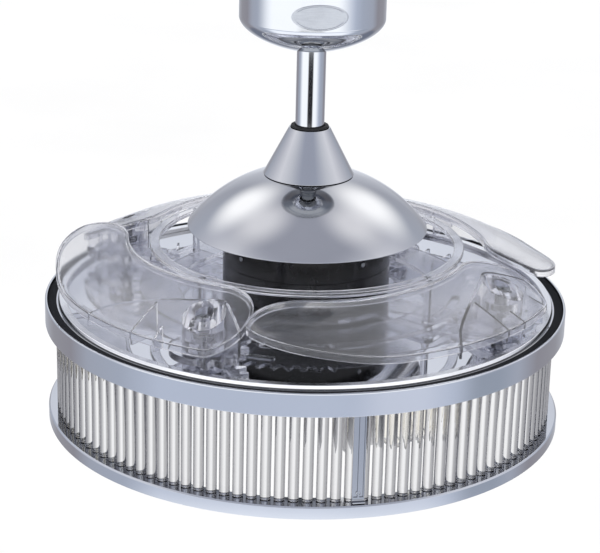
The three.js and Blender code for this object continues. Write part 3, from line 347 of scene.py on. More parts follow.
def mirror_with_border():
    """Mirror finish that turns dark grey and non-metallic on its rim outside the trim bead."""
    made, tree, shader = material(
        "mirror_acrylic", ((0.73, 0.74, 0.77, 1), (0.79, 0.80, 0.83, 1)), 5, (0.02, 0.05), 0.02,
        Specular_IOR_Level=0.0,
    )
    place = tree.add("TexCoord").outputs["Object"]
    x, y, _ = tree.add("SeparateXYZ", {"Vector": place}).outputs
    squares = [tree.math("MULTIPLY", part, part) for part in (x, y)]
    radius = tree.math("SQRT", tree.math("ADD", *squares))
    border = tree.step(radius, *(r * MM for r in BORDER_START))
    colour, rough = (shader.inputs[key] for key in ("Base Color", "Roughness"))
    mirror = colour.links[0].from_socket
    tree.put(colour, tree.blend(border, mirror, linear(46, 47, 51)))
    rough_mix = tree.add("Mix", {0: border, 2: rough.links[0].from_socket, 3: 0.6})
    tree.put(rough, rough_mix.outputs[0])
    tree.put(shader.inputs["Metallic"], tree.math("SUBTRACT", 1.0, border))
    return made


MIRROR = mirror_with_border()


# ---- Mesh code ----
def clean(mesh, gap):
    """Joins points nearer than the gap and turns the faces outwards."""
    body = bmesh.new()
    body.from_mesh(mesh)
    bmesh.ops.remove_doubles(body, verts=body.verts, dist=gap)
    bmesh.ops.recalc_face_normals(body, faces=body.faces)
    body.to_mesh(mesh)
    body.free()


def from_faces(name, points, faces):
    mesh = bpy.data.meshes.new(name)
    mesh.from_pydata([tuple(p) for p in points], [], faces)
    clean(mesh, 1e-4)
    return put_in(name, mesh)


def rounded(points, radius, steps=4):
    """A closed line of [x, y] points with its corners rounded."""
    out = []
    for i, corner in enumerate(points):
        before, after = Vector(points[i - 1]), Vector(points[(i + 1) % len(points)])
        corner = Vector(corner)
        a, b = before - corner, after - corner
        turn = a.angle(b)
        if turn > radians(172) or (corner.x == 0 and min(before.x, after.x) == 0):
            out.append(corner)
            continue
        reach = min(radius / tan(turn / 2), 0.45 * a.length, 0.45 * b.length)
        first, last = corner + a.normalized() * reach, corner + b.normalized() * reach
        for k in range(steps + 1):
            t = k / steps
            out.append(first * (1 - t) ** 2 + corner * 2 * t * (1 - t) + last * t * t)
    return out


def lathe(name, profile, corner, segments=128):
    """Turns a closed profile of [radius, height] points about the axis."""
    line = rounded(profile, corner)
    points, rows = [], []
    for r, z in line:
        if r < 1e-6:
            rows.append([len(points)] * segments)
            points.append((0, 0, z))
        else:
            rows.append(range(len(points), len(points) + segments))
            turns = (2 * pi * k / segments for k in range(segments))
            points.extend((r * cos(t), r * sin(t), z) for t in turns)
    faces = []
    for i, row in enumerate(rows):
        other = rows[(i + 1) % len(rows)]
        if line[i][0] < 1e-6 and line[(i + 1) % len(rows)][0] < 1e-6:
            continue
        for k in range(segments):
            n = (k + 1) % segments
            faces.append(list(dict.fromkeys((row[k], row[n], other[n], other[k]))))
    return from_faces(name, points, faces)


def ring(name, inner, outer, low, high, corner, segments):
    """A round piece of plain section, open in the middle unless inner is 0."""
    section = [(inner, low), (outer, low), (outer, high), (inner, high)]
    return lathe(name, section, corner, segments)


def loft(name, rings, closed=False):
    """Joins rings of points into a closed skin, or round into a closed loop."""
    count = len(rings[0])
    points = [p for line in rings for p in line]
    faces = []
    last = len(rings) if closed else len(rings) - 1
    for i in range(last):
        a, b = i * count, ((i + 1) % len(rings)) * count
        for j in range(count):
            k = (j + 1) % count
            faces.append((a + j, a + k, b + k, b + j))
    if not closed:
        faces += [tuple(range(count)), tuple(range(len(points) - count, len(points)))]
    return from_faces(name, points, faces)


def sweep(name, path, section, closed=False):
    """Carries an upright section of [aside, up] points along a path."""
    rings = []
    for i, p in enumerate(path):
        ahead = path[(i + 1) % len(path)] if closed or i + 1 < len(path) else p
        behind = path[i - 1] if closed or i else p
        way = (Vector(ahead) - Vector(behind)).normalized()
        up = Vector((0, 0, 1))
        aside = up.cross(way).normalized()
        rings.append([Vector(p) + aside * x + up * y for x, y in section])
    return loft(name, rings, closed)


def disc_section(radius, sides=16):
    turns = [2 * pi * k / sides for k in range(sides)]
    return [(radius * cos(t), radius * sin(t)) for t in turns]


def way_at(path, i):
    """The direction of a path at one of its points."""
    return (path[min(i + 1, len(path) - 1)] - path[max(i - 1, 0)]).normalized()


def evaluated(obj):
    """An object's mesh with its modifiers applied."""
    return bpy.data.meshes.new_from_object(obj.evaluated_get(bpy.context.evaluated_depsgraph_get()))


def slab(name, outline, low, high, chamfer=0.3):
    """An upright solid on an outline of [x, y] points, with small chamfers."""
    flat = bpy.data.curves.new(name, "CURVE")
    flat.dimensions, flat.fill_mode = "2D", "BOTH"
    flat.extrude = (high - low) / 2 - chamfer
    flat.bevel_depth, flat.bevel_resolution, flat.offset = chamfer, 0, -chamfer
    for loop in outline:
        spline = flat.splines.new("POLY")
        spline.points.add(len(loop) - 1)
        for point, (x, y) in zip(spline.points, loop):
            point.co = (x, y, 0, 1)
        spline.use_cyclic_u = True
    holder = put_in(name, flat)
    made = evaluated(holder)
    bpy.data.objects.remove(holder)
    made.transform(Matrix.Translation((0, 0, (low + high) / 2)))
    clean(made, 1e-3)
    return put_in(name, made)


def block(name, x0, x1, y0, y1, z0, z1):
    return slab(name, [[(x0, y0), (x1, y0), (x1, y1), (x0, y1)]], z0, z1)


def turned(obj, angle, x=0, y=0, z=0, axis="Z"):
    """Turns a piece about an axis through the origin, then moves it."""
    obj.data.transform(Matrix.Translation((x, y, z)) @ Matrix.Rotation(radians(angle), 4, axis))
    return obj


def disc(name, radius, low, high, segments=64, x=0):
    return turned(ring(name, 0, radius, low, high, 0, segments), 0, x)


def rod_along_x(name, radius, length, height):
    """A round bar across the fan's axis."""
    bar = ring(name, 0, radius, -length / 2, length / 2, 0.4, 32)
    return turned(bar, 90, z=height, axis="Y")


def solve(target, operation, tools):
    """Unites with, takes away or keeps what the tools hold."""
    for tool in tools:
        step = target.modifiers.new(operation, "BOOLEAN")
        step.operation, step.solver, step.object = operation, "MANIFOLD", tool
        made = evaluated(target)
        target.modifiers.clear()
        target.data = made
        bpy.data.objects.remove(tool)
    return target


def slotted_screw(name, profile, corner, segments, slot, x, z):
    """A screw that points out along X, its head slotted by [half length, half width, low, high]."""
    screw = lathe(name, profile, corner, segments)
    long, wide, low, high = slot
    solve(screw, "DIFFERENCE", [block("slot_tool", -long, long, -wide, wide, low, high)])
    return turned(screw, 90, x, 0, z, "Y")


def copy(obj, name):
    return put_in(name, obj.data.copy())


def merged(name, pieces):
    """One object that holds the pieces' meshes side by side."""
    body = bmesh.new()
    for piece in pieces:
        body.from_mesh(piece.data)
        bpy.data.objects.remove(piece)
    mesh = bpy.data.meshes.new(name)
    body.to_mesh(mesh)
    body.free()
    return put_in(name, mesh)


def finish(obj, node, surface, body="root", sharp=32, weighted=True):
    """Puts a piece into the frame, with its shading, body, slot and the node it replaces."""
    mesh = obj.data
    mesh.transform(Matrix.Translation((0, 0, DECK)) @ Matrix.Scale(MM, 4))
    mesh.shade_smooth()
    mesh.set_sharp_from_angle(angle=radians(sharp))
    if weighted:
        obj.modifiers.new("normals", "WEIGHTED_NORMAL").keep_sharp = True
    mesh.materials.clear()
    mesh.materials.append(surface)
    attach(obj, body)
    if node:
        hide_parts(node)


def polar(r, azimuth, z=0.0):
    return Vector((r * cos(radians(azimuth)), r * sin(radians(azimuth)), z))


def heights(node):
    """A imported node's lowest and highest point, above the deck."""
    return [corner.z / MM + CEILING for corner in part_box(node)]


# ---- Canopy, downrod and hanger ----
def bezier(a, b, c, d, steps):
    parts = ((k / steps, 1 - k / steps) for k in range(steps + 1))
    a, b, c, d = Vector(a), Vector(b), Vector(c), Vector(d)
    return [a * u**3 + b * 3 * t * u * u + c * 3 * t * t * u + d * t**3 for t, u in parts]


BOWL_STEPS = 28
foot = CREASE + 5.5
outside = bezier(
    (16.2, NECK), (41.6, NECK + 5.4), (CANOPY_RADIUS, CREASE - 5), (CANOPY_RADIUS, foot), BOWL_STEPS
)
inside = []
for k, p in enumerate(outside):
    way = way_at(outside, k)
    inside.append(p + Vector((-way.y, way.x)) * CANOPY_WALL)
outside.append(Vector((CANOPY_RADIUS, CEILING - 0.3)))
inside.append(Vector((CANOPY_RADIUS - CANOPY_WALL, CEILING - 0.3)))
inside.reverse()
canopy = lathe("canopy_shell", outside + inside, 0.3, 160)
solve(canopy, "DIFFERENCE", [rod_along_x("screw_holes", 2.3, 180, CANOPY_SCREW_HEIGHT)])
finish(canopy, "canopy", CHROME)

PLATE_AZIMUTH = 276
plate_height = CREASE + 17.2


def oval_plate():
    """The bare oval plate on the canopy's front, bent round it, with a raised rim."""
    half_wide, half_high, stand = 24.2, 10.8, 1.1
    steps, sunk = 64, CANOPY_RADIUS - 0.2
    rings = [(1.0, 0.0), (1.0, 0.7), (0.955, stand), (0.90, stand), (0.86, 0.6), (0.55, 0.75)]
    points, faces = [], []
    for share, out in rings:
        for k in range(steps):
            t = 2 * pi * k / steps
            aside, up = half_wide * share * cos(t), half_high * share * sin(t)
            azimuth = PLATE_AZIMUTH + degrees(aside / CANOPY_RADIUS)
            points.append(polar(sunk + out, azimuth, plate_height + up))
    points.append(polar(CANOPY_RADIUS + 0.65, PLATE_AZIMUTH, plate_height))
    points.append(polar(sunk, PLATE_AZIMUTH, plate_height))
    front, back = len(points) - 2, len(points) - 1
    for i in range(len(rings) - 1):
        for k in range(steps):
            n = (k + 1) % steps
            faces.append((i * steps + k, i * steps + n, (i + 1) * steps + n, (i + 1) * steps + k))
    last = (len(rings) - 1) * steps
    faces += [(last + k, last + (k + 1) % steps, front) for k in range(steps)]
    faces += [((k + 1) % steps, k, back) for k in range(steps)]
    return from_faces("canopy_oval_plate", points, faces)


finish(oval_plate(), None, PLATE)

grommet = ring("canopy_grommet_ring", DOWNROD_HOLE, 15.2, NECK, NECK + 3, 0.5, 64)
finish(grommet, "canopy_grommet", SEAL_BLACK)

for side, turn in (("right", 0), ("left", 180)):
    screw = slotted_screw(
        "canopy_screw_" + side + "_head",
        [(0, -12), (2, -12), (2, 0), (4, 0), (4, 0.7), (3.0, 1.7), (0, 2.0)],
        0.25, 40, (5, 0.5, 1.1, 3), CANOPY_RADIUS + 0.3, CANOPY_SCREW_HEIGHT,
    )
    finish(turned(screw, turn), "canopy_screw_" + side, CHROME)

YOKE_PIN = sum(heights("yoke_pin")) / 2
BALL_HEIGHT = CREASE + 16
downrod = ring("downrod_tube", DOWNROD_BORE, DOWNROD_RADIUS, *heights("downrod"), 0.4, 96)
pin_holes = [rod_along_x("pin_hole", CROSS_HOLE_RADIUS, 60, h) for h in (YOKE_PIN, BALL_HEIGHT)]
solve(downrod, "DIFFERENCE", pin_holes)
finish(downrod, "downrod", CHROME)

BALL_CUTS = (-0.72, 0.6)  # where the ball is cut flat, as shares of its radius
first_lift, last_lift = (asin(cut) for cut in BALL_CUTS)
lifts = [first_lift + (last_lift - first_lift) * k / 16 for k in range(17)]
ball = lathe(
    "hanger_ball_turned",
    [
        *[(BALL_RADIUS * cos(t), BALL_HEIGHT + BALL_RADIUS * sin(t)) for t in lifts],
        (DOWNROD_HOLE, BALL_HEIGHT + BALL_RADIUS * BALL_CUTS[1]),
        (DOWNROD_HOLE, BALL_HEIGHT + BALL_RADIUS * BALL_CUTS[0]),
    ],
    0.4, 72,
)
solve(ball, "DIFFERENCE", [rod_along_x("pin_hole", CROSS_HOLE_RADIUS, 80, BALL_HEIGHT)])
finish(ball, "hanger_ball", BALL)
ball_pin = rod_along_x("hanger_ball_cross_pin", CROSS_PIN_RADIUS, 43, BALL_HEIGHT)
finish(ball_pin, "hanger_ball_pin", STEEL)

# ---- Cone, seal and dome ----
(cone_low_r, cone_low), (cone_top_r, cone_top) = CONE
CONE_WALL = 1.2
cone = lathe(
    "coupling_cone",
    [
        (cone_low_r, cone_low), (cone_top_r, cone_top), (cone_top_r - CONE_WALL, cone_top),
        (cone_low_r - CONE_WALL, cone_low),
    ],
    0.35, 128,
)
finish(cone, "coupling_cover", SATIN)
seal = lathe(
    "coupling_seal_ring",
    [(DOWNROD_HOLE, SEAL), (16.8, SEAL), (16.4, SEAL + 1.6), (DOWNROD_HOLE, SEAL + 1.9)],
    0.5, 96,
)
finish(seal, "coupling_seal", SEAL_BLACK)

DOME_STEPS = 40
dome_centre = DOME_RIM_HEIGHT - sqrt(DOME_RADIUS**2 - DOME_RIM**2)
rim_lean, mouth_lean = (asin(r / DOME_RADIUS) for r in (DOME_RIM, DOME_MOUTH))
leans = [rim_lean + (mouth_lean - rim_lean) * k / DOME_STEPS for k in range(DOME_STEPS + 1)]
dome_outside, dome_inside = (
    [(radius * sin(t), dome_centre + radius * cos(t)) for t in leans]
    for radius in (DOME_RADIUS, DOME_RADIUS - DOME_WALL)
)
dome = lathe("motor_dome_shell", dome_outside + dome_inside[::-1], 0.6, 192)
finish(dome, "motor_dome", SATIN)

# ---- Motor ----
YOKE_RADIUS = 19
FLANGE_RADIUS = 34
FLANGE_WALL = 2.5
yoke_low, yoke_top = heights("motor_yoke")
shaft_low, shaft_top = heights("motor_shaft")
flange_top = dome_centre + sqrt((DOME_RADIUS - DOME_WALL) ** 2 - FLANGE_RADIUS**2) - 0.6
flange_low = flange_top - FLANGE_WALL
yoke = lathe(
    "motor_yoke_turned",
    [
        (YOKE_RADIUS, yoke_low), (YOKE_RADIUS, flange_low), (FLANGE_RADIUS, flange_low),
        (FLANGE_RADIUS, flange_top), (YOKE_RADIUS, flange_top), (YOKE_RADIUS, yoke_top),
        (DOWNROD_HOLE, yoke_top), (DOWNROD_HOLE, shaft_top), (SHAFT_BORE, shaft_top),
        (SHAFT_BORE, yoke_low),
    ],
    0.5, 72,
)
solve(yoke, "DIFFERENCE", [rod_along_x("pin_hole", CROSS_HOLE_RADIUS, 80, YOKE_PIN)])
finish(yoke, "motor_yoke", STEEL)
yoke_pin = rod_along_x("yoke_cross_pin", CROSS_PIN_RADIUS, 37, YOKE_PIN)
finish(yoke_pin, "yoke_pin", STEEL)
shaft = lathe(
    "motor_shaft_turned",
    [
        (SHAFT_RADIUS, shaft_low), (SHAFT_RADIUS, -1.7), (18, -1.7), (18, 1.5), (SHAFT_RADIUS, 5.7),
        (SHAFT_RADIUS, shaft_top), (6, shaft_top), (6, shaft_low),
    ],
    0.4, 64,
)
finish(shaft, "motor_shaft", STEEL)
NUT_RADIUS, NUT_LOW, NUT_TOP = 16, -12.3, -4.3
nut = slab("shaft_hex_nut", [disc_section(NUT_RADIUS, 6)], NUT_LOW, NUT_TOP, 0.8)
solve(nut, "DIFFERENCE", [disc("nut_bore", SHAFT_BORE, NUT_LOW - 1, NUT_TOP + 1)])
finish(nut, "shaft_nut", STEEL)

seat_outside = BEARING_SEAT + SHELL_WALL
floor_top = MOTOR_BOTTOM + SHELL_WALL
lower = lathe(
    "motor_shell_lower_cast",
    [
        (MOTOR_BORE, MOTOR_BOTTOM), (MOTOR_RADIUS - 2, MOTOR_BOTTOM),
        (MOTOR_RADIUS, MOTOR_BOTTOM + 2), (MOTOR_RADIUS, MOTOR_SPLIT),
        (MOTOR_INSIDE, MOTOR_SPLIT), (MOTOR_INSIDE, floor_top),
        (seat_outside, floor_top), (seat_outside, floor_top + 8), (BEARING_SEAT, floor_top + 8),
        (BEARING_SEAT, floor_top), (MOTOR_BORE, floor_top),
    ],
    0.5,
)
finish(lower, "motor_shell_lower", BLACK, "rotor")
under = MOTOR_TOP - SHELL_WALL
upper = lathe(
    "motor_shell_upper_cast",
    [
        (MOTOR_RADIUS, MOTOR_SPLIT + 0.3), (MOTOR_RADIUS, MOTOR_SHOULDER),
        (MOTOR_RADIUS - 5, MOTOR_SHOULDER + 4), (seat_outside, MOTOR_TOP), (MOTOR_BORE, MOTOR_TOP),
        (MOTOR_BORE, under), (BEARING_SEAT, under), (BEARING_SEAT, under - 8),
        (seat_outside, under - 8), (seat_outside, under), (68, MOTOR_SHOULDER + 1),
        (MOTOR_INSIDE, MOTOR_SHOULDER - 1), (MOTOR_INSIDE, MOTOR_SPLIT + 0.3),
    ],
    0.5,
)
finish(upper, "motor_shell_upper", BLACK, "rotor")
heads = []
for k in range(4):
    head = slotted_screw(
        "head", [(0, -1), (2.1, -1), (2.1, 0.5), (1.3, 1.1), (0, 1.2)], 0.25, 24, (3, 0.35, 0.7, 2),
        MOTOR_RADIUS, 47.6,
    )
    heads.append(turned(head, 41 + 90 * k))
finish(merged("motor_shell_screws", heads), None, STEEL, "rotor")


def winding(name, node, core_face, up):
    """Twelve coil ends, each a row of wire turns looped over a tooth of the core."""
    coils, rows, steps = 12, 12, 14
    half_coil = radians(180 / coils)
    arch = [(cos(pi * i / steps), sin(pi * i / steps) ** 0.7) for i in range(steps + 1)]

    def loop(r, gap, foot, rise):
        half = r * half_coil - gap
        return [Vector((r, half * x, core_face + up * (foot + rise * z))) for x, z in arch]

    pieces = []
    for k in range(coils):
        azimuth = (k + 0.5) * 360 / coils
        for row in range(rows):
            path = loop(35 + 1.6 * row, 2.2, 0.6, 9.4)
            rings = []
            for i, p in enumerate(path):
                other = way_at(path, i).cross(Vector((1, 0, 0)))
                rings.append([p + Vector((x, 0, 0)) + other * y for x, y in disc_section(0.82, 8)])
            pieces.append(turned(loft("turn", rings), azimuth))
        ends = [loop(r, 2.6, 0.4, 9.0) for r in (34.4, 53.2)]
        pieces.append(turned(loft("former", ends), azimuth))
    finish(merged(name, pieces), node, COPPER, sharp=60, weighted=False)


core_low, core_top = heights("stator_core")
winding("stator_coils_upper", "stator_winding_upper", core_top + 0.4, 1)
winding("stator_coils_lower", "stator_winding_lower", core_low - 0.4, -1)

# ---- Lamp drum ----
plate = ring("mirror_plate_disc", SHAFT_BORE, PLATE_RADIUS, *PLATE_HEIGHTS, 0.3, 192)
finish(plate, "mirror_plate", MIRROR)
hem = 2.4  # how far the rings' rolled feet reach in
band = lathe(
    "top_band_rolled",
    [
        (BAND_RADIUS, BAND_BOTTOM), (BAND_RADIUS, -1.9), (BAND_RADIUS - 0.06, -0.6),
        (BAND_RADIUS - 0.7, 0), (BAND_INSIDE, 0), (BAND_INSIDE, SEAT_TOP), (LEDGE, SEAT_TOP),
        (LEDGE, SEAT_TOP - SHEET), (BAND_INSIDE, SEAT_TOP - SHEET),
        (BAND_INSIDE, BAND_BOTTOM + SHEET), (BAND_INSIDE - hem, BAND_BOTTOM + SHEET),
        (BAND_INSIDE - hem, BAND_BOTTOM),
    ],
    0.35, 256,
)
finish(band, "top_band", CHROME)
trim = lathe(
    "trim_bead",
    [
        (BEAD_OUTSIDE, -1.8), (BEAD_OUTSIDE - 0.2, -0.8), (BEAD_OUTSIDE - 1.08, 1.6),
        (BEAD_OUTSIDE - 1.4, 1.8), (BEAD_INSIDE + 0.5, 1.8), (BEAD_INSIDE, 1.4),
        (BEAD_INSIDE, -1.8),
    ],
    0.12, 256,
)
finish(trim, "inner_trim_ring", BEAD)
base_wall = BASE_RADIUS - SHEET
base = lathe(
    "bottom_ring_rolled",
    [
        (BASE_RADIUS, BASE_BOTTOM), (BASE_RADIUS, BASE_TOP - 1.2), (BASE_RADIUS - 1.2, BASE_TOP),
        (BASE_INSIDE, BASE_TOP), (BASE_INSIDE, BASE_TOP - SHEET), (base_wall, BASE_TOP - SHEET),
        (base_wall, BASE_BOTTOM),
    ],
    0.35, 256,
)
finish(base, "bottom_ring", CHROME)

rod = ring("rod", 0, ROD_RADIUS, ROD_BOTTOM, SEAT_BOTTOM - 0.05, 0.7, 32)
rods = [ring("seat_ring", *SEAT_RADII, SEAT_BOTTOM, SEAT_TOP, 0.4, 256)]
for k in range(ROD_COUNT):
    place = polar(ROD_CIRCLE, (k + 0.5) * 360 / ROD_COUNT)
    rods.append(turned(copy(rod, "rod"), 0, place.x, place.y))
bpy.data.objects.remove(rod)
finish(merged("glass_rods_drum", rods), "glass_rods", GLASS)

POST_HALF = 5.25
POST_TOP = -7.6
post_front, foot_top, foot_reach = POST_FACE + POST_SHEET, ROD_BOTTOM + POST_SHEET, 228
CHANNELS = ((-4.1, -0.6), (0.6, 4.1))  # from side to side, with the post's spine between them
for k, azimuth in enumerate(POST_AZIMUTHS, 1):
    name = "cage_post_%d_strip" % k
    strip = [
        (POST_FACE, POST_TOP), (post_front, POST_TOP), (post_front, foot_top),
        (foot_reach, foot_top), (foot_reach, ROD_BOTTOM), (POST_FACE, ROD_BOTTOM),
    ]
    post = slab(name, [[tuple(p) for p in rounded(strip, 1.0, 3)]], -POST_HALF, POST_HALF, 0.35)
    turned(post, 90, axis="X")
    channels = [
        block("channel", POST_FACE + 0.7, POST_FACE + 4, *sides, -94.5, -7) for sides in CHANNELS
    ]
    solve(post, "DIFFERENCE", channels)
    head = slotted_screw(
        "head", [(0, -1), (1.9, -1), (1.9, 0.5), (1.2, 0.9), (0, 0.9)], 0.2, 24, (3, 0.35, 0.5, 2),
        POST_FACE + POST_SHEET / 2, -91,
    )
    post = turned(merged(name, [post, head]), azimuth)
    finish(post, "cage_post_%d" % k, POST_STEEL)


def along_x(name, profile, corner):
    """Turns a profile of [distance, radius] points about X."""
    return turned(lathe(name, [(r, x) for x, r in profile], corner, 64), 90, axis="Y")


HOLDER_BACK = -30.3
STRAP_HALF = 12
COIL_TURNS, COIL_STEPS = 2.5, 120
COIL_START, COIL_LENGTH, COIL_RADIUS, TUBE_RADIUS = 22, 35, 15.5, 5.5
strap_top = SEAT_TOP - LAMP_HEIGHT
for k, azimuth in enumerate(LAMP_AZIMUTHS, 1):
    seat = polar(LAMP_CIRCLE, azimuth, LAMP_HEIGHT)
    back = HOLDER_BACK
    cup = along_x(
        "cup", [(back, 0), (back, 17.5), (back + 4, 19), (-0.3, 19), (-0.3, 16.5), (-0.8, 0)], 0.6
    )
    strap = block("strap", back - 1, back + 2, -STRAP_HALF, STRAP_HALF, -19, strap_top)
    foot = block("foot", back - 14, back + 2, -STRAP_HALF, STRAP_HALF, strap_top - 2, strap_top)
    holder = turned(solve(cup, "UNION", [strap, foot]), azimuth + 90, *seat)
    holder.name = "lamp_holder_%d_moulded" % k
    finish(holder, "lamp_holder_%d" % k, SOCKET)
    cap = along_x(
        "cap", [(0, 0), (0, 14.4), (3, 15.5), (13, 23.4), (15, 24), (22, 24), (26, 19), (27, 0)], 1
    )
    path = []
    for i in range(COIL_STEPS + 1):
        t = 2 * pi * COIL_TURNS * i / COIL_STEPS
        along = COIL_START + COIL_LENGTH * i / COIL_STEPS
        path.append(Vector((along, COIL_RADIUS * cos(t), COIL_RADIUS * sin(t))))
    coil = []
    for i, p in enumerate(path):
        out = Vector((0, p.y, p.z)).normalized()
        other = way_at(path, i).cross(out)
        closing = max(sin(pi * min(1, (COIL_STEPS - i) / 6) / 2), 0.25)
        coil.append([p + (out * x + other * y) * closing for x, y in disc_section(TUBE_RADIUS, 20)])
    lamp = turned(solve(cap, "UNION", [loft("coil", coil)]), azimuth + 90, *seat)
    lamp.name = "lamp_%d_spiral" % k
    finish(lamp, "lamp_%d" % k, LAMP)


# ---- Blade carrier and drive ----
def at_blades(make):
    return [turned(make(), i * 90) for i in range(BLADES)]


CARRIER = (1.5, 5.7)  # underside and top


def carrier_arm(reach, half):
    return block("arm", 76, reach, -half, half, *CARRIER)


carrier = ring("blade_carrier_star", 30, 84, *CARRIER, 0.4, 128)
parts = at_blades(lambda: carrier_arm(PIVOT_CIRCLE, BOSS_RADIUS - 3))
parts += at_blades(lambda: disc("boss", BOSS_RADIUS, *CARRIER, 64, PIVOT_CIRCLE))
parts += at_blades(lambda: turned(carrier_arm(GUIDE_CIRCLE, GUIDE_FOOT), -GUIDE_AHEAD))
parts += at_blades(
    lambda: turned(disc("foot", GUIDE_FOOT, *CARRIER, 48, GUIDE_CIRCLE), -GUIDE_AHEAD)
)
solve(carrier, "UNION", parts)
solve(carrier, "DIFFERENCE", at_blades(lambda: disc("bore", 4.3, 0, 7, 32, PIVOT_CIRCLE)))
finish(turned(carrier, FIRST_PIVOT), "blade_carrier", PLASTIC, "rotor")

rim = ring("carrier_rim_ring", GUIDE_CIRCLE - 4.25, GUIDE_CIRCLE + 4.25, 46, 50, 0.8, 192)
posts = at_blades(lambda: turned(disc("post", 3.2, RING_FLOOR, 48, 32, GUIDE_CIRCLE), -GUIDE_AHEAD))
solve(rim, "UNION", posts)
finish(turned(rim, FIRST_PIVOT), "carrier_rim", PLASTIC, "rotor")


def gear_outline(teeth, plain_radius, phase, toothed):
    """A spur gear whose teeth stand only where toothed(angle) says, with curved flanks."""
    pitch_radius, half = GEAR_MODULE * teeth / 2, 0.2 * pi * GEAR_MODULE
    tip, root = pitch_radius + 2.9, pitch_radius - 4.2
    lean = tan(radians(20))
    points = []
    for k in range(teeth):
        angle = phase + k * 360 / teeth
        centre = radians(angle)
        if toothed(angle):
            flank = []
            for step in range(6):
                r = root + (tip - root) * step / 5
                width = half - (r - pitch_radius) * lean - 0.06 * max(r - pitch_radius, 0) ** 2
                flank.append((r, width / r))
            flank.append((tip, flank[-1][1] * 0.5))
            points += [(r * cos(centre - a), r * sin(centre - a)) for r, a in flank]
            points += [(r * cos(centre + a), r * sin(centre + a)) for r, a in reversed(flank)]
        else:
            turns = [centre + part * 2 * pi / teeth for part in (-0.33, 0, 0.33)]
            points += [(plain_radius * cos(t), plain_radius * sin(t)) for t in turns]
    return points


def arc(centre, radius, first, last, steps):
    turns = [radians(first + (last - first) * k / steps) for k in range(steps + 1)]
    return [(centre[0] + radius * cos(t), centre[1] + radius * sin(t)) for t in turns]


def sync_ring():
    outline = gear_outline(
        SYNC_TEETH, 147.8, 180 / SYNC_TEETH, lambda angle: (angle + 99) % 90 < SYNC_SWING + 18
    )
    holes = [arc((0, 0), 113, 0, 360, 180)[:-1]]
    for i in range(BLADES):
        turn = i * 90 - GUIDE_AHEAD
        last = turn + SYNC_SWING
        hole = arc((0, 0), GUIDE_CIRCLE + GUIDE_SLOT, turn, last, 24)
        hole += arc(polar(GUIDE_CIRCLE, last), GUIDE_SLOT, last, last + 180, 10)[1:]
        hole += arc((0, 0), GUIDE_CIRCLE - GUIDE_SLOT, last, turn, 24)[1:]
        hole += arc(polar(GUIDE_CIRCLE, turn), GUIDE_SLOT, turn + 180, turn + 360, 10)[1:-1]
        holes.append(hole)
    return slab("sync_ring_moulded", [outline, *holes], RING_FLOOR, 9.5, 0.25)


finish(turned(sync_ring(), FIRST_PIVOT), "sync_ring", GEAR_PLASTIC, "sync_ring")


def pinion():
    first, last = 180 - 126 - 32, 180 + 32  # the blade's swing and a tooth or two beyond
    outline = gear_outline(PINION_TEETH, 28.8, 180, lambda angle: first < angle % 360 < last)
    made = slab("pinion", [outline], RING_FLOOR, 12.0, 0.25)
    solve(made, "UNION", [slab("key", [disc_section(KEY_RADIUS, 6)], 11, 15, 0.3)])
    return solve(made, "DIFFERENCE", [disc("bore", 4.35, 5, 16, 32)])


def pivot_pin():
    top = heights("pivot_pin_1")[1]
    head = top - PIN_HEAD
    made = lathe("pin", [(0, 2), (4, 2), (4, head), (7, head), (7, top), (0, top)], 0.4, 40)
    cross = [block("recess", -x, x, -y, y, top - 1.3, top + 1) for x, y in ((4, 0.7), (0.7, 4))]
    return solve(made, "DIFFERENCE", cross)


def spring():
    """Three turns of wire whose first end bends out to the boss and last end in to the pin."""
    low, rise, coil_radius, leg, steps = 19.35, 6.6, 8.2, 0.1, 180

    def ease(x):
        return x * x * (3 - 2 * x)

    def place(t):
        start, end = 1 - ease(min(t / leg, 1)), ease(max((t - 1 + leg) / leg, 0))
        r = coil_radius + 1.75 * start - 3.15 * end
        return Vector((r * cos(6 * pi * t), r * sin(6 * pi * t), low + rise * t))

    rings = []
    for i in range(steps + 1):
        t = i / steps
        p, way = place(t), (place(t + 0.001) - place(t - 0.001)).normalized()
        out = Vector((p.x, p.y, 0)).normalized()
        out = (out - way * out.dot(way)).normalized()
        rings.append([p + out * x + way.cross(out) * y for x, y in disc_section(0.75, 12)])
    return loft("spring", rings)


# ---- Blades ----
def smooth(x, low, high):
    x = min(max((x - low) / (high - low), 0), 1)
    return x * x * (3 - 2 * x)


def mix(a, b, t):
    return a + (b - a) * t


def blade_edges(phi):
    """Inner and outer edge, from the fan's axis, at an angle from the pivot."""
    if phi > 0:
        middle, aside = PIVOT_CIRCLE * cos(radians(phi)), PIVOT_CIRCLE * sin(radians(phi))
        half = sqrt(max(ROOT_RADIUS**2 - aside**2, 0))
        return middle - half, min(BLADE_RIM, middle + half)
    along = min(-phi / (BLADE_SWEEP - TIP_ROUND), 1)
    inner = mix(*BLADE_INSIDE, along)
    past = max(-phi - (BLADE_SWEEP - TIP_ROUND), 0) / TIP_ROUND
    full = sqrt(max(1 - min(past, 1) ** 2, 0))
    return mix(TIP_CIRCLE, inner, full), mix(TIP_CIRCLE, BLADE_RIM, full)


def blade_height(phi, r):
    """The crowned top surface, whose outer edge climbs towards the tip."""
    edge = OUTER_HEIGHT + TIP_CLIMB * smooth(-phi / BLADE_SWEEP, 0.55, 1)
    across = (BLADE_RIM - r) / (BLADE_RIM - BLADE_INSIDE[0])
    return mix(edge, INNER_HEIGHT, across) + CROWN * sin(pi * across)


def stations():
    tip = [-(BLADE_SWEEP - TIP_ROUND * (1 - cos(pi / 2 * k / 14))) for k in range(14)]
    middle = [(TIP_ROUND - BLADE_SWEEP) * (1 - k / 40) for k in range(40)]
    root = [ROOT_TURN * sin(pi / 2 * k / 14) for k in range(15)]
    return tip + middle + root


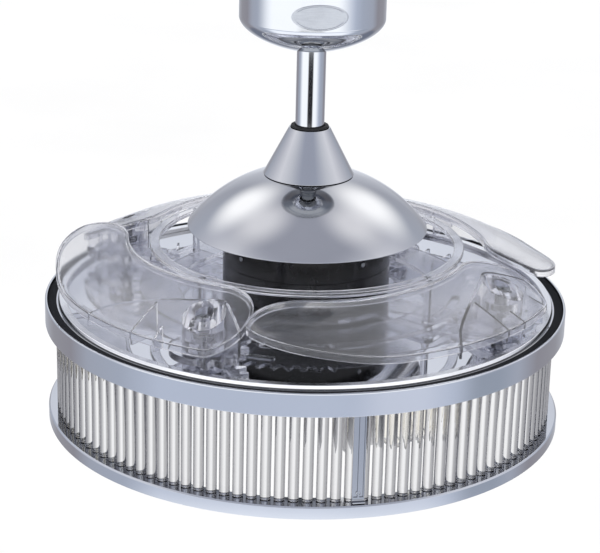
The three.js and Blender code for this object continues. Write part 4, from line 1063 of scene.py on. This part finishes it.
def blade_body(name, inset, drop, under):
    """The blade's plan moved inwards, from under(phi, r) up to drop below its top surface."""
    across, rings = 14, []
    for phi in stations():
        inner, outer = blade_edges(phi)
        spare = max(0, min(inset, (outer - inner) / 2 - 0.3))
        inner, outer = inner + spare, outer - spare
        if outer - inner < 0.6:
            middle = (inner + outer) / 2
            inner, outer = middle - 0.3, middle + 0.3
        radii = [mix(inner, outer, k / across) for k in range(across + 1)]
        top = [polar(r, phi, blade_height(phi, r) - drop) for r in radii]
        low = [polar(r, phi, under(phi, r)) for r in reversed(radii)]
        rings.append(top + low)
    return loft(name, rings)


def blade_outline(inset):
    """The blade's edge in plan, as a closed path on its top surface, moved inwards."""
    inner = [(phi, blade_edges(phi)[0]) for phi in stations()]
    outer = [(phi, blade_edges(phi)[1]) for phi in reversed(stations())]
    edge = []
    for phi, r in inner + outer:
        p = polar(r, phi)
        if not edge or (p - edge[-1]).length > 0.8:
            edge.append(p)
    if (edge[-1] - edge[0]).length < 0.8:
        edge.pop()
    out = []
    for i, p in enumerate(edge):
        way = (edge[(i + 1) % len(edge)] - edge[i - 1]).normalized()
        x, y, _ = p + Vector((way.y, -way.x, 0)) * inset
        out.append(Vector((x, y, blade_height(degrees(atan2(y, x)), hypot(x, y)))))
    return out


def wall_along(points):
    section = [(-RIB / 2, 0), (RIB / 2, 0), (RIB / 2, 61), (-RIB / 2, 61)]
    return sweep("wall", [Vector((p[0], p[1], FLOOR)) for p in points], section)


def curved(points, steps=6):
    """A smooth line through [angle from the pivot, radius] points."""
    out = []
    for i in range(len(points) - 1):
        a, b, c, d = (Vector(points[min(max(i + k, 0), len(points) - 1)]) for k in (-1, 0, 1, 2))
        for k in range(steps):
            t = k / steps
            p = b + (c - a) * 0.5 * t + (a - b * 2.5 + c * 2 - d * 0.5) * t**2
            p += ((b - c) * 1.5 + (d - a) * 0.5) * t**3
            out.append(polar(p.y, p.x))
    return out + [polar(points[-1][1], points[-1][0])]


ARCH = [
    (-29, 221), (-26, 206), (-20.5, 192.5), (-13, 180), (-5.5, 172), (2.2, 166.5), (7, 180),
    (10.7, 197),
]
SHORT_RIBS = [((-15, 186), (-14, 219)), ((-8, 206), (-7.5, 219)), ((3.4, 206), (4.4, 218))]
LIP = [
    (-1.5, -6.2), (-1.2, -6.5), (1.1, -6.5), (1.5, -6.1), (1.5, -0.3), (1.1, 0.15), (-0.9, 0.15),
    (-1.5, -0.4),
]


def blade():
    walls = [wall_along([polar(r, phi) for phi, r in rib]) for rib in SHORT_RIBS]
    ribs = disc("boss", BOSS_RADIUS, FLOOR, 73, 64, PIVOT_CIRCLE)
    solve(ribs, "UNION", [wall_along(curved(ARCH)), *walls])
    solve(ribs, "INTERSECT", [blade_body("core", 0.8, SKIN / 2, lambda phi, r: FLOOR)])
    skin = blade_body("skin", 0.3, 0, lambda phi, r: blade_height(phi, r) - SKIN)
    solve(skin, "UNION", [sweep("lip", blade_outline(1.6), LIP, closed=True), ribs])
    head_top = heights("pivot_pin_1")[1]
    key = [(PIVOT_CIRCLE + x, y) for x, y in disc_section(KEY_RADIUS + 0.3, 6)]
    tools = [
        slab("key", [key], 11, 15.3, 0.01),
        disc("chamber", 11, 18.3, 27, 48, PIVOT_CIRCLE),
        disc("bore", 4.5, 11, head_top, 40, PIVOT_CIRCLE),
        disc("recess", 7.4, head_top - PIN_HEAD - 0.3, head_top + 40, 48, PIVOT_CIRCLE),
    ]
    return solve(skin, "DIFFERENCE", tools)


first_blade, first_pinion, first_pin, first_spring = blade(), pinion(), pivot_pin(), spring()
for k in range(1, BLADES + 1):
    azimuth = FIRST_PIVOT + (k - 1) * 90
    x, y, _ = polar(PIVOT_CIRCLE, azimuth)
    body = "blade_%d" % k
    made = turned(copy(first_blade, body + "_moulded"), azimuth)
    finish(made, body, PLASTIC, body)
    made = turned(copy(first_pinion, "blade_pinion_%d_moulded" % k), azimuth, x, y)
    finish(made, "blade_pinion_%d" % k, GEAR_PLASTIC, body)
    made = turned(copy(first_pin, "pivot_pin_%d_turned" % k), azimuth, x, y)
    finish(made, "pivot_pin_%d" % k, STEEL, "rotor")
    made = turned(copy(first_spring, "return_spring_%d_coil" % k), azimuth, x, y)
    finish(made, "return_spring_%d" % k, STEEL, "rotor")
for obj in (first_blade, first_pinion, first_pin, first_spring):
    bpy.data.objects.remove(obj)

# ---- CAD nodes that stay ----
kept = {
    "ceiling_bracket": STEEL, "stator_core": IRON, "bearing_lower": STEEL, "bearing_upper": STEEL,
    "magnet_ring": MAGNET,
}
for name, surface in kept.items():
    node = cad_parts[name]
    node.data.materials.clear()
    node.data.materials.append(surface)

# ---- Studio ----
world = bpy.data.worlds.new("studio")
scene.world = world
world.use_nodes = True
world.node_tree.nodes.clear()
sky = Tree(world.node_tree)
direction = sky.add("TexCoord").outputs["Generated"]
way = sky.add("SeparateXYZ", {"Vector": direction})
front = sky.math("MULTIPLY", way.outputs["Y"], -1.0)


def in_degrees(operation, *values):
    return sky.math("MULTIPLY", sky.math(operation, *values), 180 / pi)


turn = in_degrees("ARCTAN2", way.outputs["X"], front)  # from the viewer, + to the right
aside = sky.math("ABSOLUTE", turn)
height = in_degrees("ARCSINE", way.outputs["Z"])


def band_mask(value, low, high, soft):
    """1 between two values, falling to 0 over a soft edge on each side."""
    rise, fall = sky.step(value, low - soft, low + soft), sky.step(value, high + soft, high - soft)
    return sky.math("MULTIPLY", rise, fall)


def around(*stops):
    """Walls whose tone changes from the viewer's side, 0, to behind the object, 1."""
    share = sky.math("DIVIDE", aside, 180.0)
    return sky.ramp(share, [(place, linear(*tone)) for place, *tone in stops])


lower_half = around(
    (0.0, 178, 185, 201), (0.36, 176, 183, 199), (0.47, 158, 164, 178), (0.60, 154, 158, 170),
    (0.68, 136, 134, 141), (0.80, 140, 139, 145), (0.90, 160, 162, 170), (1.0, 168, 170, 178),
)
upper_half = around(
    (0.0, 156, 162, 178), (0.12, 158, 164, 180), (0.30, 196, 199, 208), (0.47, 218, 219, 226),
    (0.62, 188, 190, 200), (0.76, 162, 167, 179), (0.87, 160, 163, 173), (0.95, 190, 193, 202),
    (1.0, 214, 218, 226),
)
upper_half = sky.blend(sky.step(height, 30, 60), upper_half, linear(153, 156, 168))
studio = sky.blend(sky.step(height, -4, 4), lower_half, upper_half)


def both(*masks):
    value = masks[0]
    for mask in masks[1:]:
        value = sky.math("MULTIPLY", value, mask)
    return value


def axis_light(turn, height, reach):
    """A round soft light: 1 at its middle, 0 from `reach` degrees off it."""
    a, e = radians(turn), radians(height)
    middle = (sin(a) * cos(e), -cos(a) * cos(e), sin(e))
    towards = sky.add("VectorMath", {0: direction, 1: middle}, operation="DOT_PRODUCT")
    return sky.step(in_degrees("ARCCOSINE", towards.outputs["Value"]), reach, 4)


def panel(angle, across, up):
    """A light's mask from two [low, high, soft edge] spans, of azimuth and of height."""
    return both(band_mask(angle, *across), band_mask(height, *up))


FRONT_EDGE = -19.5  # the white in front stops just above what the drum's band mirrors
front_white = both(
    band_mask(turn, -80, 56, 18), sky.step(height, FRONT_EDGE - 0.1, FRONT_EDGE + 0.1),
    sky.step(height, -6, -9),
)
WHITE_LIGHT = (1.1, 1.1, 1.11, 1)
patches = [
    (axis_light(-106, 61, 25), linear(220, 220, 225)),
    (axis_light(106, 61, 25), linear(220, 220, 225)),
    (axis_light(-138, 42, 24), WHITE_LIGHT),
    (axis_light(140, 42, 27), WHITE_LIGHT),
    (panel(aside, (172, 181, 4), (29, 62, 3)), (1.15, 1.15, 1.16, 1)),
    (panel(aside, (172, 181, 5), (-25, 8, 4)), linear(212, 216, 224)),
    (panel(aside, (118, 181, 14), (-66, -32, 4)), linear(106, 111, 125)),
    (panel(turn, (28, 60, 10), (-26, -20, 1)), linear(193, 198, 212)),
    (panel(turn, (76, 100, 8), (-26, -20, 1)), linear(143, 150, 163)),
    (front_white, linear(247, 249, 252)),
    (panel(turn, (-78, 68, 14), (-72, -26.5, 1.5)), linear(240, 243, 250)),
    # The dark line down the downrod, and the lights that whiten the bead.
    (panel(turn, (-21, 18, 6), (-15.4, -12.75, 0.15)), linear(36, 36, 40)),
    (both(sky.step(aside, 90, 66), band_mask(height, -19.3, -15.7, 0.1)), linear(250, 251, 253)),
    (both(sky.step(aside, 80, 50), band_mask(height, 8, 23, 1.5)), linear(243, 244, 247)),
]
for mask, colour in patches:
    studio = sky.blend(mask, studio, colour)


def background(colour, strength):
    return sky.add("Background", {"Color": colour, "Strength": strength}).outputs[0]


def chosen(share, first, second):
    return sky.add("MixShader", {0: share, 1: first, 2: second}).outputs[0]


WHITE = (1, 1, 1, 1)
rays = sky.add("LightPath").outputs
# What has been mirrored more than once comes back darker, unless it came through clear plastic.
again = sky.math("MAXIMUM", sky.math("SUBTRACT", rays["Glossy Depth"], 1.0), 0.0)
opaque = sky.math("LESS_THAN", rays["Transmission Depth"], 0.5)
dimmed = sky.math("POWER", 0.5, sky.math("MULTIPLY", again, opaque))
mirrored = background(studio, sky.math("MULTIPLY", dimmed, 1.3))
level = sky.math("MULTIPLY", rays["Is Transmission Ray"], sky.step(height, 20, 7))
through = sky.math("MAXIMUM", rays["Is Camera Ray"], level)
indirect = sky.math("MAXIMUM", rays["Is Glossy Ray"], rays["Is Transmission Ray"])
lit = chosen(indirect, background(WHITE, 0.85), mirrored)
shown = chosen(through, lit, background(WHITE, 1.0))
sky.add("OutputWorld", {"Surface": shown})

sun = put_in("soft_top_light", bpy.data.lights.new("soft_top_light", "SUN"))
sun.data.energy, sun.data.angle = 0.7, radians(60)
sun.rotation_euler = (radians(25), radians(-20), 0)
sun.visible_glossy = False

FLOOR_HALF, FLOOR_Z = 30, -3.5  # metres
ends = ((-1, -1), (1, -1), (1, 1), (-1, 1))
corners = [(x * FLOOR_HALF, y * FLOOR_HALF, FLOOR_Z) for x, y in ends]
floor = put_in("floor", bpy.data.meshes.new("floor"))
floor.data.from_pydata(corners, [], [(0, 1, 2, 3)])
floor.data.materials.append(material("pale_floor", (grey(0.96), WHITE), 0.5, (0.8, 0.9))[0])
floor.visible_glossy = floor.visible_transmission = False

scene.view_settings.view_transform = "Standard"
cycles = scene.cycles
cycles.max_bounces, cycles.transmission_bounces, cycles.transparent_max_bounces = 32, 32, 32
cycles.glossy_bounces = 12
